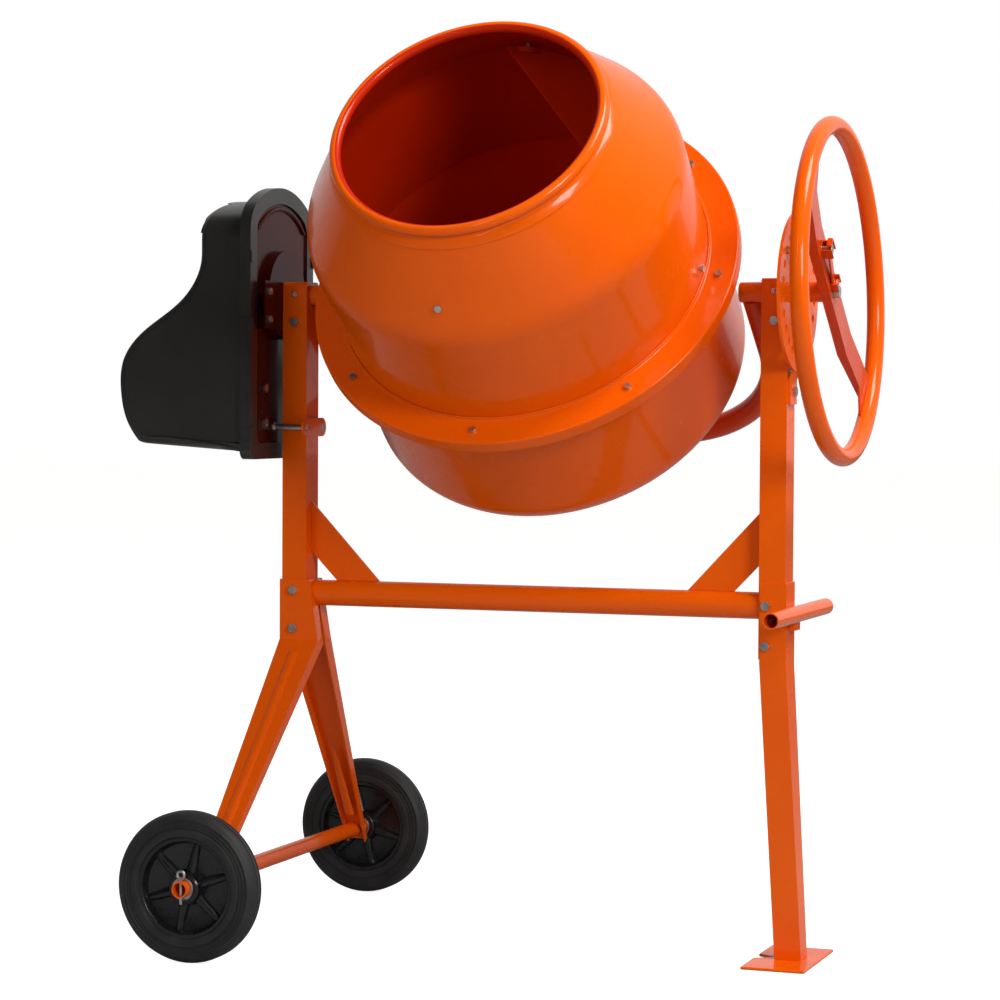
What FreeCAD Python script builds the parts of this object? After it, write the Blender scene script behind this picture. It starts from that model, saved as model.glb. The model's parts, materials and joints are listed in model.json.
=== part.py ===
import FreeCAD, Part
import math
import os

V = FreeCAD.Vector
X = V(1, 0, 0)
Y = V(0, 1, 0)
Z = V(0, 0, 1)

# A wheeled concrete mixer with a tilting drum, in millimetres, +Z up.
# X runs from the drive housing to the hand wheel, and -Y is the side that the drum tips to.
# Everything is built about the drum's centre line, then moved by these two values so that
# the origin is under the middle of the whole machine.
centre_x = 66.0
centre_y = 20.0

# frame
post_spacing = 686.0
post_width = 36.0
post_depth = 42.0
post_wall = 2.5
post_foot_height = 400.0
tilt_height = 885.0
cross_height = 470.0
cross_radius = 18.0
cross_wall = 2.0
gusset_thickness = 4.0
gusset_length = 104.0
gusset_foot = 64.0
gusset_rise = 111.0
gusset_head = 69.5

# bearing caps and pivot tubes
pivot_radius = 13.5
pivot_wall = 3.0
bush_wall = 1.5
cap_roof = 3.0
cap_tongue = 30.0
running_gap = 0.05
fit_gap = 0.3
weld_gap = 0.2

# bolts
bolt_radius = 4.0
bolt_gap = 0.3
head_radius = 6.5
head_height = 4.5
cap_bolt_drop = 38.0
leg_bolt_high = 474.0
leg_bolt_low = 421.0

# undercarriage
wheel_radius = 100.0
wheel_width = 39.0
wheel_track = 607.0
axle_outward = 24.0
axle_radius = 11.0
axle_wall = 2.0
leg_sheet = 2.5
leg_top_height = 489.0
leg_bend_height = 405.0
leg_top_width = 44.0
leg_waist_width = 58.0
leg_toe_width = 29.0
leg_depth = 20.0
leg_toe_depth = 9.0
leg_wheel_gap = 8.0
leg_rib_radius = 9.0
leg_rib_start = 22.0
leg_rib_stop = 62.0
rim_radius = 66.0
rim_wall = 5.0
hub_radius = 21.0
spoke_count = 6
spoke_width = 15.0
spoke_thickness = 14.0
web_thickness = 4.0
washer_radius = 15.0
washer_thickness = 2.5
pin_radius = 2.0
axle_end = 12.0

# support leg and transport handle
support_lean = 24.0
support_top = 502.0
support_width = 36.5
support_depth = 45.0
support_toe_depth = 34.0
support_sheet = 2.5
support_bolt_inward = 8.0
support_bolt_drop = 3.0
foot_length = 165.0
foot_width = 86.0
foot_thickness = 4.0
foot_notch = 26.0
handle_radius = 11.0
handle_wall = 2.0
handle_length = 300.0
handle_height = 461.0
handle_saddle_reach = 10.0
handle_saddle_drop = 22.0
handle_saddle_width = 24.0

# drum, measured along its own axis from the tilt axis, mouth up
drum_lean = 51.6
sheet = 2.5
mouth_level = 328.5
mouth_radius = 177.5
bead_radius = 7.5
shoulder_level = 212.0
shoulder_radius = 256.0
shoulder_round = 36.0
ring_level = 48.0
neck_radius = 253.0
ring_radius = 295.0
ring_sheet = 2.5
bowl_top_radius = 262.0
bowl_radius = 265.0
bowl_bottom = -181.0
bowl_round = 46.0
ring_bolt_count = 8
ring_bolt_circle = 273.0
ring_bolt_radius = 3.0

# ring gear and pinion
pinion_teeth = 12
ring_teeth = 120
gear_radius = 281.0
gear_face = 17.0
tooth_tip = 3.0
tooth_root = 4.2
backlash = 1.2
pressure_angle = 20.0

# mixing blades
blade_thickness = 3.0
blade_gap = 1.5
blade_top_level = 246.0
blade_low_level = 70.0
blade_turn = 88.0
blade_start = 88.0
blade_foot = 34.0
blade_reach = 32.0
blade_overrun = 16.0

# yoke and drum bearing
yoke_radius = 16.0
yoke_arm_gap = 1.5
yoke_bend = 182.0
yoke_level = -304.5
shaft_radius = 15.0
housing_radius = 36.0
housing_wall = 6.0
bearing_width = 18.0
hub_flange_radius = 75.0
hub_flange_thickness = 6.0

# hand wheel and lock
hand_wheel_gap = 64.0
hand_wheel_radius = 217.0
hand_wheel_tube = 12.2
hand_wheel_lean = 2.0
spoke_bar_width = 38.0
spoke_bar_depth = 13.0
spoke_end_depth = 7.0
spoke_bar_sheet = 2.5
spoke_bar_dish = 9.0
spoke_flat_reach = 108.0
spoke_foot_reach = 30.0
spoke_foot_start = 176.0
disc_radius = 105.0
disc_thickness = 4.0
disc_offset = 8.0
disc_bore_gap = 2.0
lock_radius = 84.0
lock_hole_count = 24
lock_pin_radius = 5.0
lock_hole_gap = 0.8
lock_travel = 6.0
lock_rest_gap = 0.8
tab_width = 34.0
tab_drop = 148.0
tab_bolt_rise = 17.0
lever_thickness = 2.5
lever_width = 13.0
lever_gap = 0.6
lever_pivot_level = 16.0
lever_pivot_radius = 3.0
lever_eye_rise = 4.5
ear_thickness = 2.0
ear_gap = 0.8
keeper_height = 14.0
pin_collar_radius = 8.0
pin_collar_thickness = 3.0
pin_collar_gap = 0.7
pin_head_radius = 6.6
pin_head_gap = 1.1
spring_wire = 0.8
spring_turns = 6

# drive housing
plate_gap = 10.0
plate_half_width = 108.0
plate_arch_rise = 149.5
plate_crown_radius = 165.0
plate_corner_radius = 50.0
plate_foot_round = 14.0
plate_drop = 228.0
plate_thickness = 2.0
rim_depth = 16.0
rim_face = 22.0
boss_radius = 62.0
boss_height = 7.5
bracket_half_width = 80.0
bracket_above = 18.0
bracket_below = 48.0
bracket_bolt_reach = 68.0
cover_wall = 3.0
cover_inset = 9.0
cover_top_drop = 9.0
cover_top_round = 26.0
cover_top_depth = 66.0
cover_bulge_depth = 190.0
cover_skirt_depth = 160.0
cover_underside_rise = 12.0
clip_levels = (-193.0, -42.0, 50.0)
clip_height = 16.0
bulge_drop = 134.0
shaft_core_radius = 10.0
large_pulley_radius = 84.0
motor_pulley_radius = 18.0
pulley_width = 14.0
belt_thickness = 4.0
belt_width = 10.0
motor_radius = 56.0
motor_length = 138.0
motor_axis_drop = 142.0
stud_radius = 4.0
stud_reach = 56.0
stay_drop = 184.0
stay_strap_sheet = 4.0
stay_strap_radius = 13.0
stay_radius = 4.0
stay_offset = 27.0
motor_shaft_radius = 7.0
motor_shaft_room = 12.0
motor_bore_depth = 40.0
stud_head_room = 22.0

# switch and inlet
switch_inward = 105.0
switch_rise = 6.0
switch_width = 46.0
switch_height = 84.0
switch_depth = 12.0
button_radius = 9.0
button_travel = 4.0
button_gap = 0.4
button_rise = 6.0

# values that follow from the ones above
post_x = post_spacing / 2
post_inner = post_x - post_width / 2
post_outer = post_x + post_width / 2
post_front = post_depth / 2
axle_x = -(post_x + axle_outward)
yoke_arm_x = post_inner - yoke_arm_gap - yoke_radius
hand_wheel_x = post_outer + hand_wheel_gap
bush_radius = pivot_radius + running_gap + bush_wall
cap_top = tilt_height + bush_radius + cap_roof
cap_bottom = tilt_height - pivot_radius - 9.5
cap_bolt_height = tilt_height - cap_bolt_drop
gear_module = 2 * gear_radius / ring_teeth
pinion_radius = gear_module * pinion_teeth / 2
stack_level = ring_level - ring_sheet
cone_flange = stack_level - sheet
gear_top = cone_flange - sheet
wheel_y = wheel_track / 2
axle_half = wheel_y + wheel_width / 2 + axle_end
leg_toe_y = wheel_y - wheel_width / 2 - leg_wheel_gap
handle_x = post_outer + support_sheet + weld_gap + handle_radius
plate_x = -(post_outer + plate_gap)
rim_x = plate_x - rim_depth
disc_x = post_outer + disc_offset
spoke_x = hand_wheel_x + spoke_bar_sheet - spoke_bar_dish
motor_height = tilt_height - motor_axis_drop
crown_height = tilt_height + plate_arch_rise
plate_bottom = tilt_height - plate_drop
bulge_height = tilt_height - bulge_drop
stay_height = tilt_height - stay_drop
plate_face = plate_x - cover_wall
boss_face = plate_x + boss_height
bracket_thickness = plate_gap - boss_height - weld_gap
pulley_x = plate_face - plate_thickness - 5 - pulley_width
shaft_end = pulley_x - 6
lever_x = spoke_x + lever_gap
lever_rise = math.degrees(math.asin(lock_travel / (lock_radius - lever_pivot_level)))
pin_tip = disc_x + disc_thickness / 2 + lock_rest_gap
pin_collar = pin_tip + lock_travel + pin_collar_gap
cover_face = plate_half_width - cover_inset
switch_x = plate_x - switch_inward
switch_z = motor_height + switch_rise


def box(x0, x1, y0, y1, z0, z1):
    return Part.makeBox(x1 - x0, y1 - y0, z1 - z0, V(x0, y0, z0))


def rod_x(radius, x0, x1, y, z):
    return Part.makeCylinder(radius, x1 - x0, V(x0, y, z), X)


def rod_y(radius, y0, y1, x, z):
    return Part.makeCylinder(radius, y1 - y0, V(x, y0, z), Y)


def rod_z(radius, z0, z1, x=0.0, y=0.0):
    return Part.makeCylinder(radius, z1 - z0, V(x, y, z0), Z)


def fuse(shapes):
    whole = shapes[0]
    for shape in shapes[1:]:
        whole = whole.fuse(shape)
    return whole.removeSplitter()


def face_of(points):
    return Part.Face(Part.makePolygon(points + points[:1]))


def hexagon(radius, height, at, direction):
    # a hexagonal head or nut that stands on the point and grows along the direction
    points = []
    for step in range(6):
        turn = math.radians(60 * step)
        points.append(V(radius * math.cos(turn), radius * math.sin(turn), 0))
    solid = face_of(points).extrude(V(0, 0, height))
    solid.Placement = FreeCAD.Placement(at, FreeCAD.Rotation(Z, direction))
    return solid


def bolt(at, direction, grip, radius=bolt_radius, head=head_radius, nut=True):
    # the head's underside is on the point, and the shank runs along the direction
    out = direction * -1
    tail = head_height if nut else 0.0
    shank = Part.makeCylinder(radius, grip + tail, at, direction)
    cap = hexagon(head, head_height, at, out)
    parts = [shank, cap]
    if nut:
        parts.append(hexagon(head, head_height, at + direction * grip, direction))
    return fuse(parts)


def hole(at, direction, depth, radius=bolt_radius):
    return Part.makeCylinder(radius + bolt_gap, depth + 2, at - direction, direction)


def save(name, shape):
    placed = shape.copy()
    placed.translate(V(centre_x, centre_y, 0))
    placed.exportStep("parts/" + name + ".step")


def onto_drum(shape):
    # from the drum's own frame, with its axis upright, to its place on the tilt axis
    placed = shape.copy()
    placed.rotate(V(0, 0, 0), X, drum_lean)
    placed.translate(V(0, 0, tilt_height))
    return placed


# ---- frame -------------------------------------------------------------------------------


def leg_bolts_at():
    reach = post_front + leg_sheet
    return [V(-post_x, -reach, leg_bolt_high), V(-post_x, -reach, leg_bolt_low)]


def support_bolts_at():
    reach = post_front + support_sheet
    x = post_x - support_bolt_inward
    return [V(x, -reach, height - support_bolt_drop) for height in (leg_bolt_high, leg_bolt_low)]


def cap_bolts_at():
    return [V(side * post_x, -post_front, cap_bolt_height) for side in (-1, 1)]


def post(side):
    x = side * post_x
    outer = box(x - post_width / 2, x + post_width / 2, -post_front, post_front, post_foot_height, cap_bottom)
    inner = box(
        x - post_width / 2 + post_wall,
        x + post_width / 2 - post_wall,
        -post_front + post_wall,
        post_front - post_wall,
        post_foot_height - 1,
        cap_bottom + 1,
    )
    shape = outer.cut(inner)
    for at in leg_bolts_at() + support_bolts_at() + cap_bolts_at():
        if at.x * side > 0:
            shape = shape.cut(hole(at, Y, post_depth + 8))
    if side > 0:
        shape = shape.cut(hole(tab_bolt_at(), X * -1, disc_thickness + post_wall + 6))
    return shape


def cap(side):
    x = side * post_x
    half = post_width / 2
    head = box(x - half, x + half, -post_front, post_front, cap_bottom, cap_top)
    rounded = [edge for edge in head.Edges if abs(edge.Length - post_width) < 0.01]
    top = [edge for edge in rounded if edge.CenterOfMass.z > cap_top - 1]
    head = head.makeFillet(6.0, top)
    slack = post_wall + fit_gap
    tongue = box(
        x - half + slack,
        x + half - slack,
        -post_front + slack,
        post_front - slack,
        cap_bolt_height - cap_tongue / 2,
        cap_bottom,
    )
    shape = fuse([head, tongue])
    shape = shape.cut(rod_x(bush_radius, x - half - 1, x + half + 1, 0, tilt_height))
    for at in cap_bolts_at():
        shape = shape.cut(hole(at, Y, post_depth))
    return shape


def pivot_bushes():
    half = post_width / 2
    bushes = []
    for side in (-1, 1):
        x = side * post_x
        outer = rod_x(bush_radius, x - half, x + half, 0, tilt_height)
        bushes.append(outer.cut(rod_x(pivot_radius + running_gap, x - half - 1, x + half + 1, 0, tilt_height)))
    return Part.makeCompound(bushes)


def cross_tube():
    outer = rod_x(cross_radius, -post_inner, post_inner, 0, cross_height)
    return outer.cut(rod_x(cross_radius - cross_wall, -post_inner - 1, post_inner + 1, 0, cross_height))


def gusset(side):
    # a flat strip between the post's inner face and the top of the cross tube
    low = cross_height + cross_radius - 1.5
    y = -gusset_thickness / 2
    points = [
        V(side * post_inner, y, low + gusset_rise),
        V(side * post_inner, y, low + gusset_rise - gusset_head),
        V(side * (post_inner - gusset_length + gusset_foot), y, low),
        V(side * (post_inner - gusset_length), y, low),
    ]
    plate = face_of(points).extrude(V(0, gusset_thickness, 0))
    return plate.cut(rod_x(cross_radius, -post_inner, post_inner, 0, cross_height))


def loft(stations):
    wires = [Part.makePolygon(points + points[:1]) for points in stations]
    return Part.makeLoft(wires, True, True)


def wheel_leg(side):
    # a pressed channel: an upright stretch that clasps the post, then a tapered stretch
    # that spreads to the axle; modelled for the front and mirrored for the rear
    web_y = -(post_front + leg_sheet)
    left = -post_outer - leg_sheet
    right = left + leg_top_width
    waist_left = left
    waist_right = left + leg_waist_width
    toe_left = axle_x - leg_toe_width / 2
    toe_right = axle_x + leg_toe_width / 2
    toe_z = wheel_radius - axle_radius - 4
    run = V(0, -leg_toe_y - web_y, toe_z - leg_bend_height)
    run.normalize()
    inward = V(0, -run.z, run.y)
    if inward.y < 0:
        inward = inward * -1
    straight = V(0, 1, 0)
    bend = straight + inward
    bend.normalize()
    bend = bend * (1 / bend.y)

    def station(x0, x1, y, z, direction, depth, shell):
        side_wall = direction * depth
        start = direction * shell
        reach = side_wall if shell == 0 else side_wall + direction * 2
        return [
            V(x0 + shell, y, z) + start,
            V(x1 - shell, y, z) + start,
            V(x1 - shell, y, z) + reach,
            V(x0 + shell, y, z) + reach,
        ]

    shells = []
    for shell in (0.0, leg_sheet):
        over = 0.0 if shell == 0 else 2.0
        upper = loft([
            station(left, right, web_y, leg_top_height + over, straight, leg_depth, shell),
            station(waist_left, waist_right, web_y, leg_bend_height, bend, leg_depth, shell),
        ])
        end = V(0, -leg_toe_y, toe_z) + run * over
        lower = loft([
            station(waist_left, waist_right, web_y, leg_bend_height, bend, leg_depth, shell),
            station(toe_left, toe_right, end.y, end.z, inward, leg_toe_depth, shell),
        ])
        shells.append(upper.fuse(lower))
    shape = shells[0].cut(shells[1])
    rib_top = V((waist_left + waist_right) / 2, web_y, leg_bend_height)
    rib_run = V(axle_x, -leg_toe_y, toe_z) - rib_top
    rib_length = rib_run.Length - leg_rib_start - leg_rib_stop
    rib_run.normalize()
    rib_from = rib_top + rib_run * leg_rib_start + inward * (leg_rib_radius * 0.6)
    rib = Part.makeCylinder(leg_rib_radius, rib_length, rib_from, rib_run)
    shape = shape.fuse(rib.cut(shells[0])).removeSplitter()
    # the sheet stops at the post, so nothing of it stands inside the box section
    shape = shape.cut(box(-post_outer, -post_inner, -post_front, post_front, post_foot_height, cap_bottom))
    shape = shape.cut(box(-post_outer - 50, -post_inner + 50, -weld_gap, wheel_y, 0, cap_bottom))
    shape = shape.cut(rod_x(cross_radius + weld_gap, -post_inner - 20, 0, 0, cross_height))
    for at in leg_bolts_at():
        shape = shape.cut(hole(at, Y, post_depth))
    shape = shape.cut(rod_y(axle_radius, -axle_half, axle_half, axle_x, wheel_radius))
    if side > 0:
        shape = shape.mirror(V(0, 0, 0), Y)
    return shape


def axle_tube():
    outer = rod_y(axle_radius, -axle_half, axle_half, axle_x, wheel_radius)
    shape = outer.cut(rod_y(axle_radius - axle_wall, -axle_half - 1, axle_half + 1, axle_x, wheel_radius))
    for side in (-1, 1):
        shape = shape.cut(cotter_shank(side, pin_radius + bolt_gap))
    return shape


def cotter_y(side):
    return side * (axle_half - axle_end / 2 + 1)


def cotter_shank(side, radius):
    z = wheel_radius - axle_radius - 9
    return rod_z(radius, z, wheel_radius + axle_radius + 5, axle_x, cotter_y(side))


def cotter_pins():
    pins = []
    for side in (-1, 1):
        eye = Part.makeTorus(5.0, pin_radius, V(axle_x, cotter_y(side), wheel_radius + axle_radius + 8), Y)
        pins.append(fuse([cotter_shank(side, pin_radius), eye]))
    return Part.makeCompound(pins)


def washer(y0, y1):
    ring = rod_y(washer_radius, y0, y1, axle_x, wheel_radius)
    return ring.cut(rod_y(axle_radius + running_gap, y0 - 1, y1 + 1, axle_x, wheel_radius))


def hub_washers():
    rings = []
    for side in (-1, 1):
        outer = side * (wheel_y + wheel_width / 2 + fit_gap)
        inner = side * (wheel_y - wheel_width / 2 - fit_gap)
        rings.append(washer(min(outer, outer + side * washer_thickness), max(outer, outer + side * washer_thickness)))
        rings.append(washer(min(inner, inner - side * washer_thickness), max(inner, inner - side * washer_thickness)))
    return Part.makeCompound(rings)


def wheel_revolve(points, side):
    # a ring about the axle from (distance from the wheel's middle, radius) points
    y = side * wheel_y
    outline = [V(axle_x, y + across, wheel_radius + radius) for across, radius in points]
    return face_of(outline).revolve(V(axle_x, 0, wheel_radius), Y, 360)


def tyre(side):
    half = wheel_width / 2
    points = [
        (-half, rim_radius + 2),
        (-half, rim_radius + 12),
        (-half + 2, rim_radius + 13),
        (-half + 2, wheel_radius - 8),
        (-half + 8, wheel_radius - 1.5),
        (-half + 13, wheel_radius),
        (half - 13, wheel_radius),
        (half - 8, wheel_radius - 1.5),
        (half - 2, wheel_radius - 8),
        (half - 2, rim_radius + 13),
        (half, rim_radius + 12),
        (half, rim_radius + 2),
        (half - 4, rim_radius),
        (-half + 4, rim_radius),
    ]
    return wheel_revolve(points, side)


def rim(side):
    half = wheel_width / 2
    y = side * wheel_y
    barrel = wheel_revolve(
        [
            (-half + 4, rim_radius - rim_wall),
            (-half + 4, rim_radius),
            (half - 4, rim_radius),
            (half - 4, rim_radius - rim_wall),
        ],
        side,
    )
    hub = wheel_revolve([(-half, 1.0), (-half, hub_radius), (half, hub_radius), (half, 1.0)], side)
    reach = rim_radius - rim_wall / 2
    web = rod_y(reach, y - web_thickness / 2, y + web_thickness / 2, axle_x, wheel_radius)
    pieces = [barrel, hub, web]
    for step in range(spoke_count):
        bar = box(-spoke_width / 2, spoke_width / 2, -spoke_thickness / 2, spoke_thickness / 2, hub_radius - 4, reach)
        bar.rotate(V(0, 0, 0), Y, 360 / spoke_count * step)
        bar.translate(V(axle_x, y, wheel_radius))
        pieces.append(bar)
    bore = rod_y(axle_radius + running_gap, y - half - 1, y + half + 1, axle_x, wheel_radius)
    return fuse(pieces).cut(bore)


def support_leg():
    # an open channel that clasps the right post and leans outwards to the foot plate
    web_y = -(post_front + support_sheet)
    right = post_outer + support_sheet

    def station(shift, z, back, shell):
        return [
            V(right - support_width + shift + shell, web_y + shell, z),
            V(right + shift - shell, web_y + shell, z),
            V(right + shift - shell, web_y + back, z),
            V(right - support_width + shift + shell, web_y + back, z),
        ]

    waist = post_foot_height - 6
    shells = []
    for shell in (0.0, support_sheet):
        over = 1.0 if shell else 0.0
        upper = loft([
            station(0, support_top + over, support_depth + over, shell),
            station(0, waist, support_depth + over, shell),
        ])
        lower = loft([
            station(0, waist, support_depth + over, shell),
            station(support_lean, foot_thickness, support_toe_depth + over, shell),
        ])
        shells.append(upper.fuse(lower))
    shape = shells[0].cut(shells[1])
    shape = shape.cut(box(post_inner, post_outer, -post_front, post_front + 2, post_foot_height, cap_bottom))
    for at in support_bolts_at():
        shape = shape.cut(hole(at, Y, 8))
    return shape


def foot_plate():
    x = post_x + support_lean - 2
    y = -(post_front + support_sheet) + support_toe_depth / 2
    plate = box(x - foot_width / 2, x + foot_width / 2, y - foot_length / 2, y + foot_length / 2, 0, foot_thickness)
    notch = face_of([
        V(x - foot_width / 2 - 1, y - foot_notch * 0.6, -1),
        V(x - foot_width / 2 + foot_notch, y, -1),
        V(x - foot_width / 2 - 1, y + foot_notch * 0.6, -1),
    ]).extrude(V(0, 0, foot_thickness + 2))
    return plate.cut(notch)


def transport_handle():
    half = handle_length / 2
    outer = rod_y(handle_radius, -half, half, handle_x, handle_height)
    return outer.cut(rod_y(handle_radius - handle_wall, -half - 1, half + 1, handle_x, handle_height))


def handle_bracket():
    # a saddle under the handle, welded to the support leg's flange
    x = post_outer + support_sheet
    half = handle_saddle_width / 2
    low = handle_height - handle_saddle_drop
    block = box(x, x + handle_saddle_reach, -half, half, low, handle_height)
    return block.cut(rod_y(handle_radius, -half - 1, half + 1, handle_x, handle_height))


def frame_bolts():
    grip = post_depth + 2 * leg_sheet
    parts = [bolt(at, Y, grip) for at in leg_bolts_at()]
    for at in support_bolts_at():
        parts.append(bolt(at, Y, post_depth + support_sheet))
    for at in cap_bolts_at():
        parts.append(bolt(at, Y, post_depth))
    parts.append(bolt(tab_bolt_at(), X * -1, disc_thickness + post_wall))
    grip = bracket_thickness + boss_height + cover_wall + plate_thickness
    for at in bracket_bolts_at():
        parts.append(bolt(at, X * -1, grip, 3.0, 5.0))
    return Part.makeCompound(parts)


def grease_nipples():
    parts = []
    for side in (-1, 1):
        collar = rod_y(4.0, -post_front - 3, -post_front, side * post_x, tilt_height + 1)
        ball = Part.makeSphere(3.0, V(side * post_x, -post_front - 3.5, tilt_height + 1))
        parts.append(fuse([collar, ball]))
    return Part.makeCompound(parts)


# ---- yoke, hand wheel and lock -------------------------------------------------------------


def pivot_tube(x0, x1):
    outer = rod_x(pivot_radius, x0, x1, 0, tilt_height)
    return outer.cut(rod_x(pivot_radius - pivot_wall, x0 - 1, x1 + 1, 0, tilt_height))


def left_pivot():
    return pivot_tube(boss_face + 1, -(gear_radius + gear_face / 2 + 4))


def right_pivot():
    return pivot_tube(yoke_arm_x - yoke_radius, spoke_x - spoke_bar_sheet)


def yoke_tube():
    # one bent pipe: down one side of the drum, under it and up the other side
    corner = yoke_level + yoke_bend
    inside = yoke_arm_x - yoke_bend
    diagonal = yoke_bend * math.sqrt(0.5)
    top = V(yoke_arm_x, 0, -pivot_radius * 0.4)
    arm = Part.LineSegment(top, V(yoke_arm_x, 0, corner)).toShape()
    bend = Part.Arc(
        V(yoke_arm_x, 0, corner),
        V(inside + diagonal, 0, corner - diagonal),
        V(inside, 0, yoke_level),
    ).toShape()
    base = Part.LineSegment(V(inside, 0, yoke_level), V(-inside, 0, yoke_level)).toShape()
    far_bend = Part.Arc(
        V(-inside, 0, yoke_level),
        V(-inside - diagonal, 0, corner - diagonal),
        V(-yoke_arm_x, 0, corner),
    ).toShape()
    far_top = V(-yoke_arm_x, 0, -pivot_radius * 0.4)
    far_arm = Part.LineSegment(V(-yoke_arm_x, 0, corner), far_top).toShape()
    path = Part.Wire([arm, bend, base, far_bend, far_arm])
    outer = Part.Wire(Part.Circle(top, Z, yoke_radius).toShape())
    inner = Part.Wire(Part.Circle(top, Z, yoke_radius - pivot_wall).toShape())
    pipe = path.makePipeShell([outer], True, True).cut(path.makePipeShell([inner], True, True))
    pipe = pipe.cut(rod_x(pivot_radius, -post_outer, post_outer, 0, 0))
    pipe = pipe.cut(rod_z(housing_radius, yoke_level - yoke_radius - 1, 0))
    return onto_drum(pipe)


def bearing_housing():
    top = housing_top()
    bottom = yoke_level - yoke_radius
    outer = rod_z(housing_radius, bottom, top)
    shape = outer.cut(rod_z(housing_radius - housing_wall, bottom + housing_wall, top + 1))
    return onto_drum(shape)


def housing_top():
    return bowl_bottom - hub_flange_thickness - 4


def drum_bearings():
    bottom = yoke_level - yoke_radius + housing_wall
    rings = []
    for low in (bottom + 8, housing_top() - bearing_width - 2):
        ring = rod_z(housing_radius - housing_wall, low, low + bearing_width)
        rings.append(ring.cut(rod_z(shaft_radius + running_gap, low - 1, low + bearing_width + 1)))
    return onto_drum(Part.makeCompound(rings))


def hand_wheel():
    # the ring leans a little, so that its foot stands further out than its top
    ring = Part.makeTorus(hand_wheel_radius, hand_wheel_tube, V(0, 0, 0), X)
    ring.rotate(V(0, 0, 0), Y, -hand_wheel_lean)
    ring.translate(V(hand_wheel_x, 0, tilt_height))
    return ring


def along_spoke(shape):
    # from a frame with the spoke upright to the spoke's lean, which matches the drum's
    placed = shape.copy()
    placed.rotate(V(0, 0, 0), X, drum_lean)
    placed.translate(V(0, 0, tilt_height))
    return placed


def spoke_feet(near, far, end):
    # the web spreads to one side at each end and runs on along the rim
    half = spoke_bar_width / 2
    rise = (spoke_foot_start - spoke_flat_reach) / (end - spoke_flat_reach)
    start = near + (far - near) * rise
    low = V(0, 0, -(spoke_foot_start + spoke_foot_reach * 0.7))
    side_view = [
        V(start - spoke_bar_sheet, 0, -spoke_foot_start),
        V(start, 0, -spoke_foot_start),
        V(far, 0, -end),
        V(far - spoke_bar_sheet, 0, -end),
    ]
    slab = face_of(side_view).extrude(V(0, half + spoke_foot_reach, 0))
    slab.translate(V(0, -half - spoke_foot_reach, 0))
    outline = face_of([
        V(near - 5, 0, -spoke_foot_start),
        V(near - 5, -half, -spoke_foot_start),
        V(near - 5, -half - spoke_foot_reach, low.z),
        V(near - 5, -half - spoke_foot_reach, -end),
        V(near - 5, 0, -end),
    ]).extrude(V(spoke_bar_dish + 10, 0, 0))
    foot = slab.common(outline)
    other = foot.copy()
    other.rotate(V(0, 0, 0), X, 180)
    return [foot, other]


def hand_wheel_spoke():
    # a dished channel from rim to rim, open towards the post
    half = spoke_bar_width / 2
    end = hand_wheel_radius - hand_wheel_tube * 0.4
    near = spoke_x
    far = spoke_x + spoke_bar_dish
    web = [
        V(near, 0, -spoke_flat_reach),
        V(near, 0, spoke_flat_reach),
        V(far, 0, end),
        V(far - spoke_bar_sheet, 0, end),
        V(near - spoke_bar_sheet, 0, spoke_flat_reach),
        V(near - spoke_bar_sheet, 0, -spoke_flat_reach),
        V(far - spoke_bar_sheet, 0, -end),
        V(far, 0, -end),
    ]
    plate = face_of(web).extrude(V(0, spoke_bar_width, 0))
    plate.translate(V(0, -half, 0))
    flange_outline = [
        V(near - 0.5, 0, -spoke_flat_reach),
        V(near - 0.5, 0, spoke_flat_reach),
        V(far - 0.5, 0, end),
        V(far - spoke_end_depth, 0, end),
        V(near - spoke_bar_depth, 0, spoke_flat_reach),
        V(near - spoke_bar_depth, 0, -spoke_flat_reach),
        V(far - spoke_end_depth, 0, -end),
        V(far - 0.5, 0, -end),
    ]
    pieces = [plate]
    for side in (-1, 1):
        flange = face_of(flange_outline).extrude(V(0, spoke_bar_sheet, 0))
        start = half - spoke_bar_sheet if side > 0 else -half
        flange.translate(V(0, start, 0))
        pieces.append(flange)
    pieces += spoke_feet(near, far, end)
    shape = fuse(pieces)
    shape = shape.cut(rod_x(lock_pin_radius + lock_hole_gap, spoke_x - 20, spoke_x + 20, 0, lock_radius))
    shape = along_spoke(shape)
    return shape.cut(hand_wheel())


def locking_disc():
    # a thin disc round the pivot with a ring of holes, and a tab down the post's side
    disc = rod_x(disc_radius, disc_x - disc_thickness / 2, disc_x + disc_thickness / 2, 0, 0)
    for step in range(lock_hole_count):
        opening = rod_x(lock_pin_radius + lock_hole_gap, disc_x - 10, disc_x + 10, 0, lock_radius)
        opening.rotate(V(0, 0, 0), X, 360 / lock_hole_count * step)
        disc = disc.cut(opening)
    disc = disc.cut(rod_x(pivot_radius + disc_bore_gap, disc_x - 10, disc_x + 10, 0, 0))
    disc.rotate(V(0, 0, 0), X, drum_lean)
    disc.translate(V(0, 0, tilt_height))
    shape = fuse([disc, disc_tab()])
    return shape.cut(hole(tab_bolt_at(), X * -1, disc_thickness + 4))


def disc_tab():
    # flat on the post's side below, joggled out to the disc's plane above
    low = tilt_height - tab_drop
    bend = tilt_height - disc_radius + 2
    high = tilt_height - disc_radius + 14
    back = disc_x - disc_thickness / 2
    side_view = [
        V(post_outer, 0, low),
        V(post_outer, 0, bend - 12),
        V(back, 0, bend),
        V(back, 0, high),
        V(back + disc_thickness, 0, high),
        V(back + disc_thickness, 0, bend),
        V(post_outer + disc_thickness, 0, bend - 12),
        V(post_outer + disc_thickness, 0, low),
    ]
    tab = face_of(side_view).extrude(V(0, tab_width, 0))
    tab.translate(V(0, -tab_width / 2, 0))
    return tab


def tab_bolt_at():
    return V(post_outer + disc_thickness, 0, tilt_height - tab_drop + tab_bolt_rise)


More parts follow.
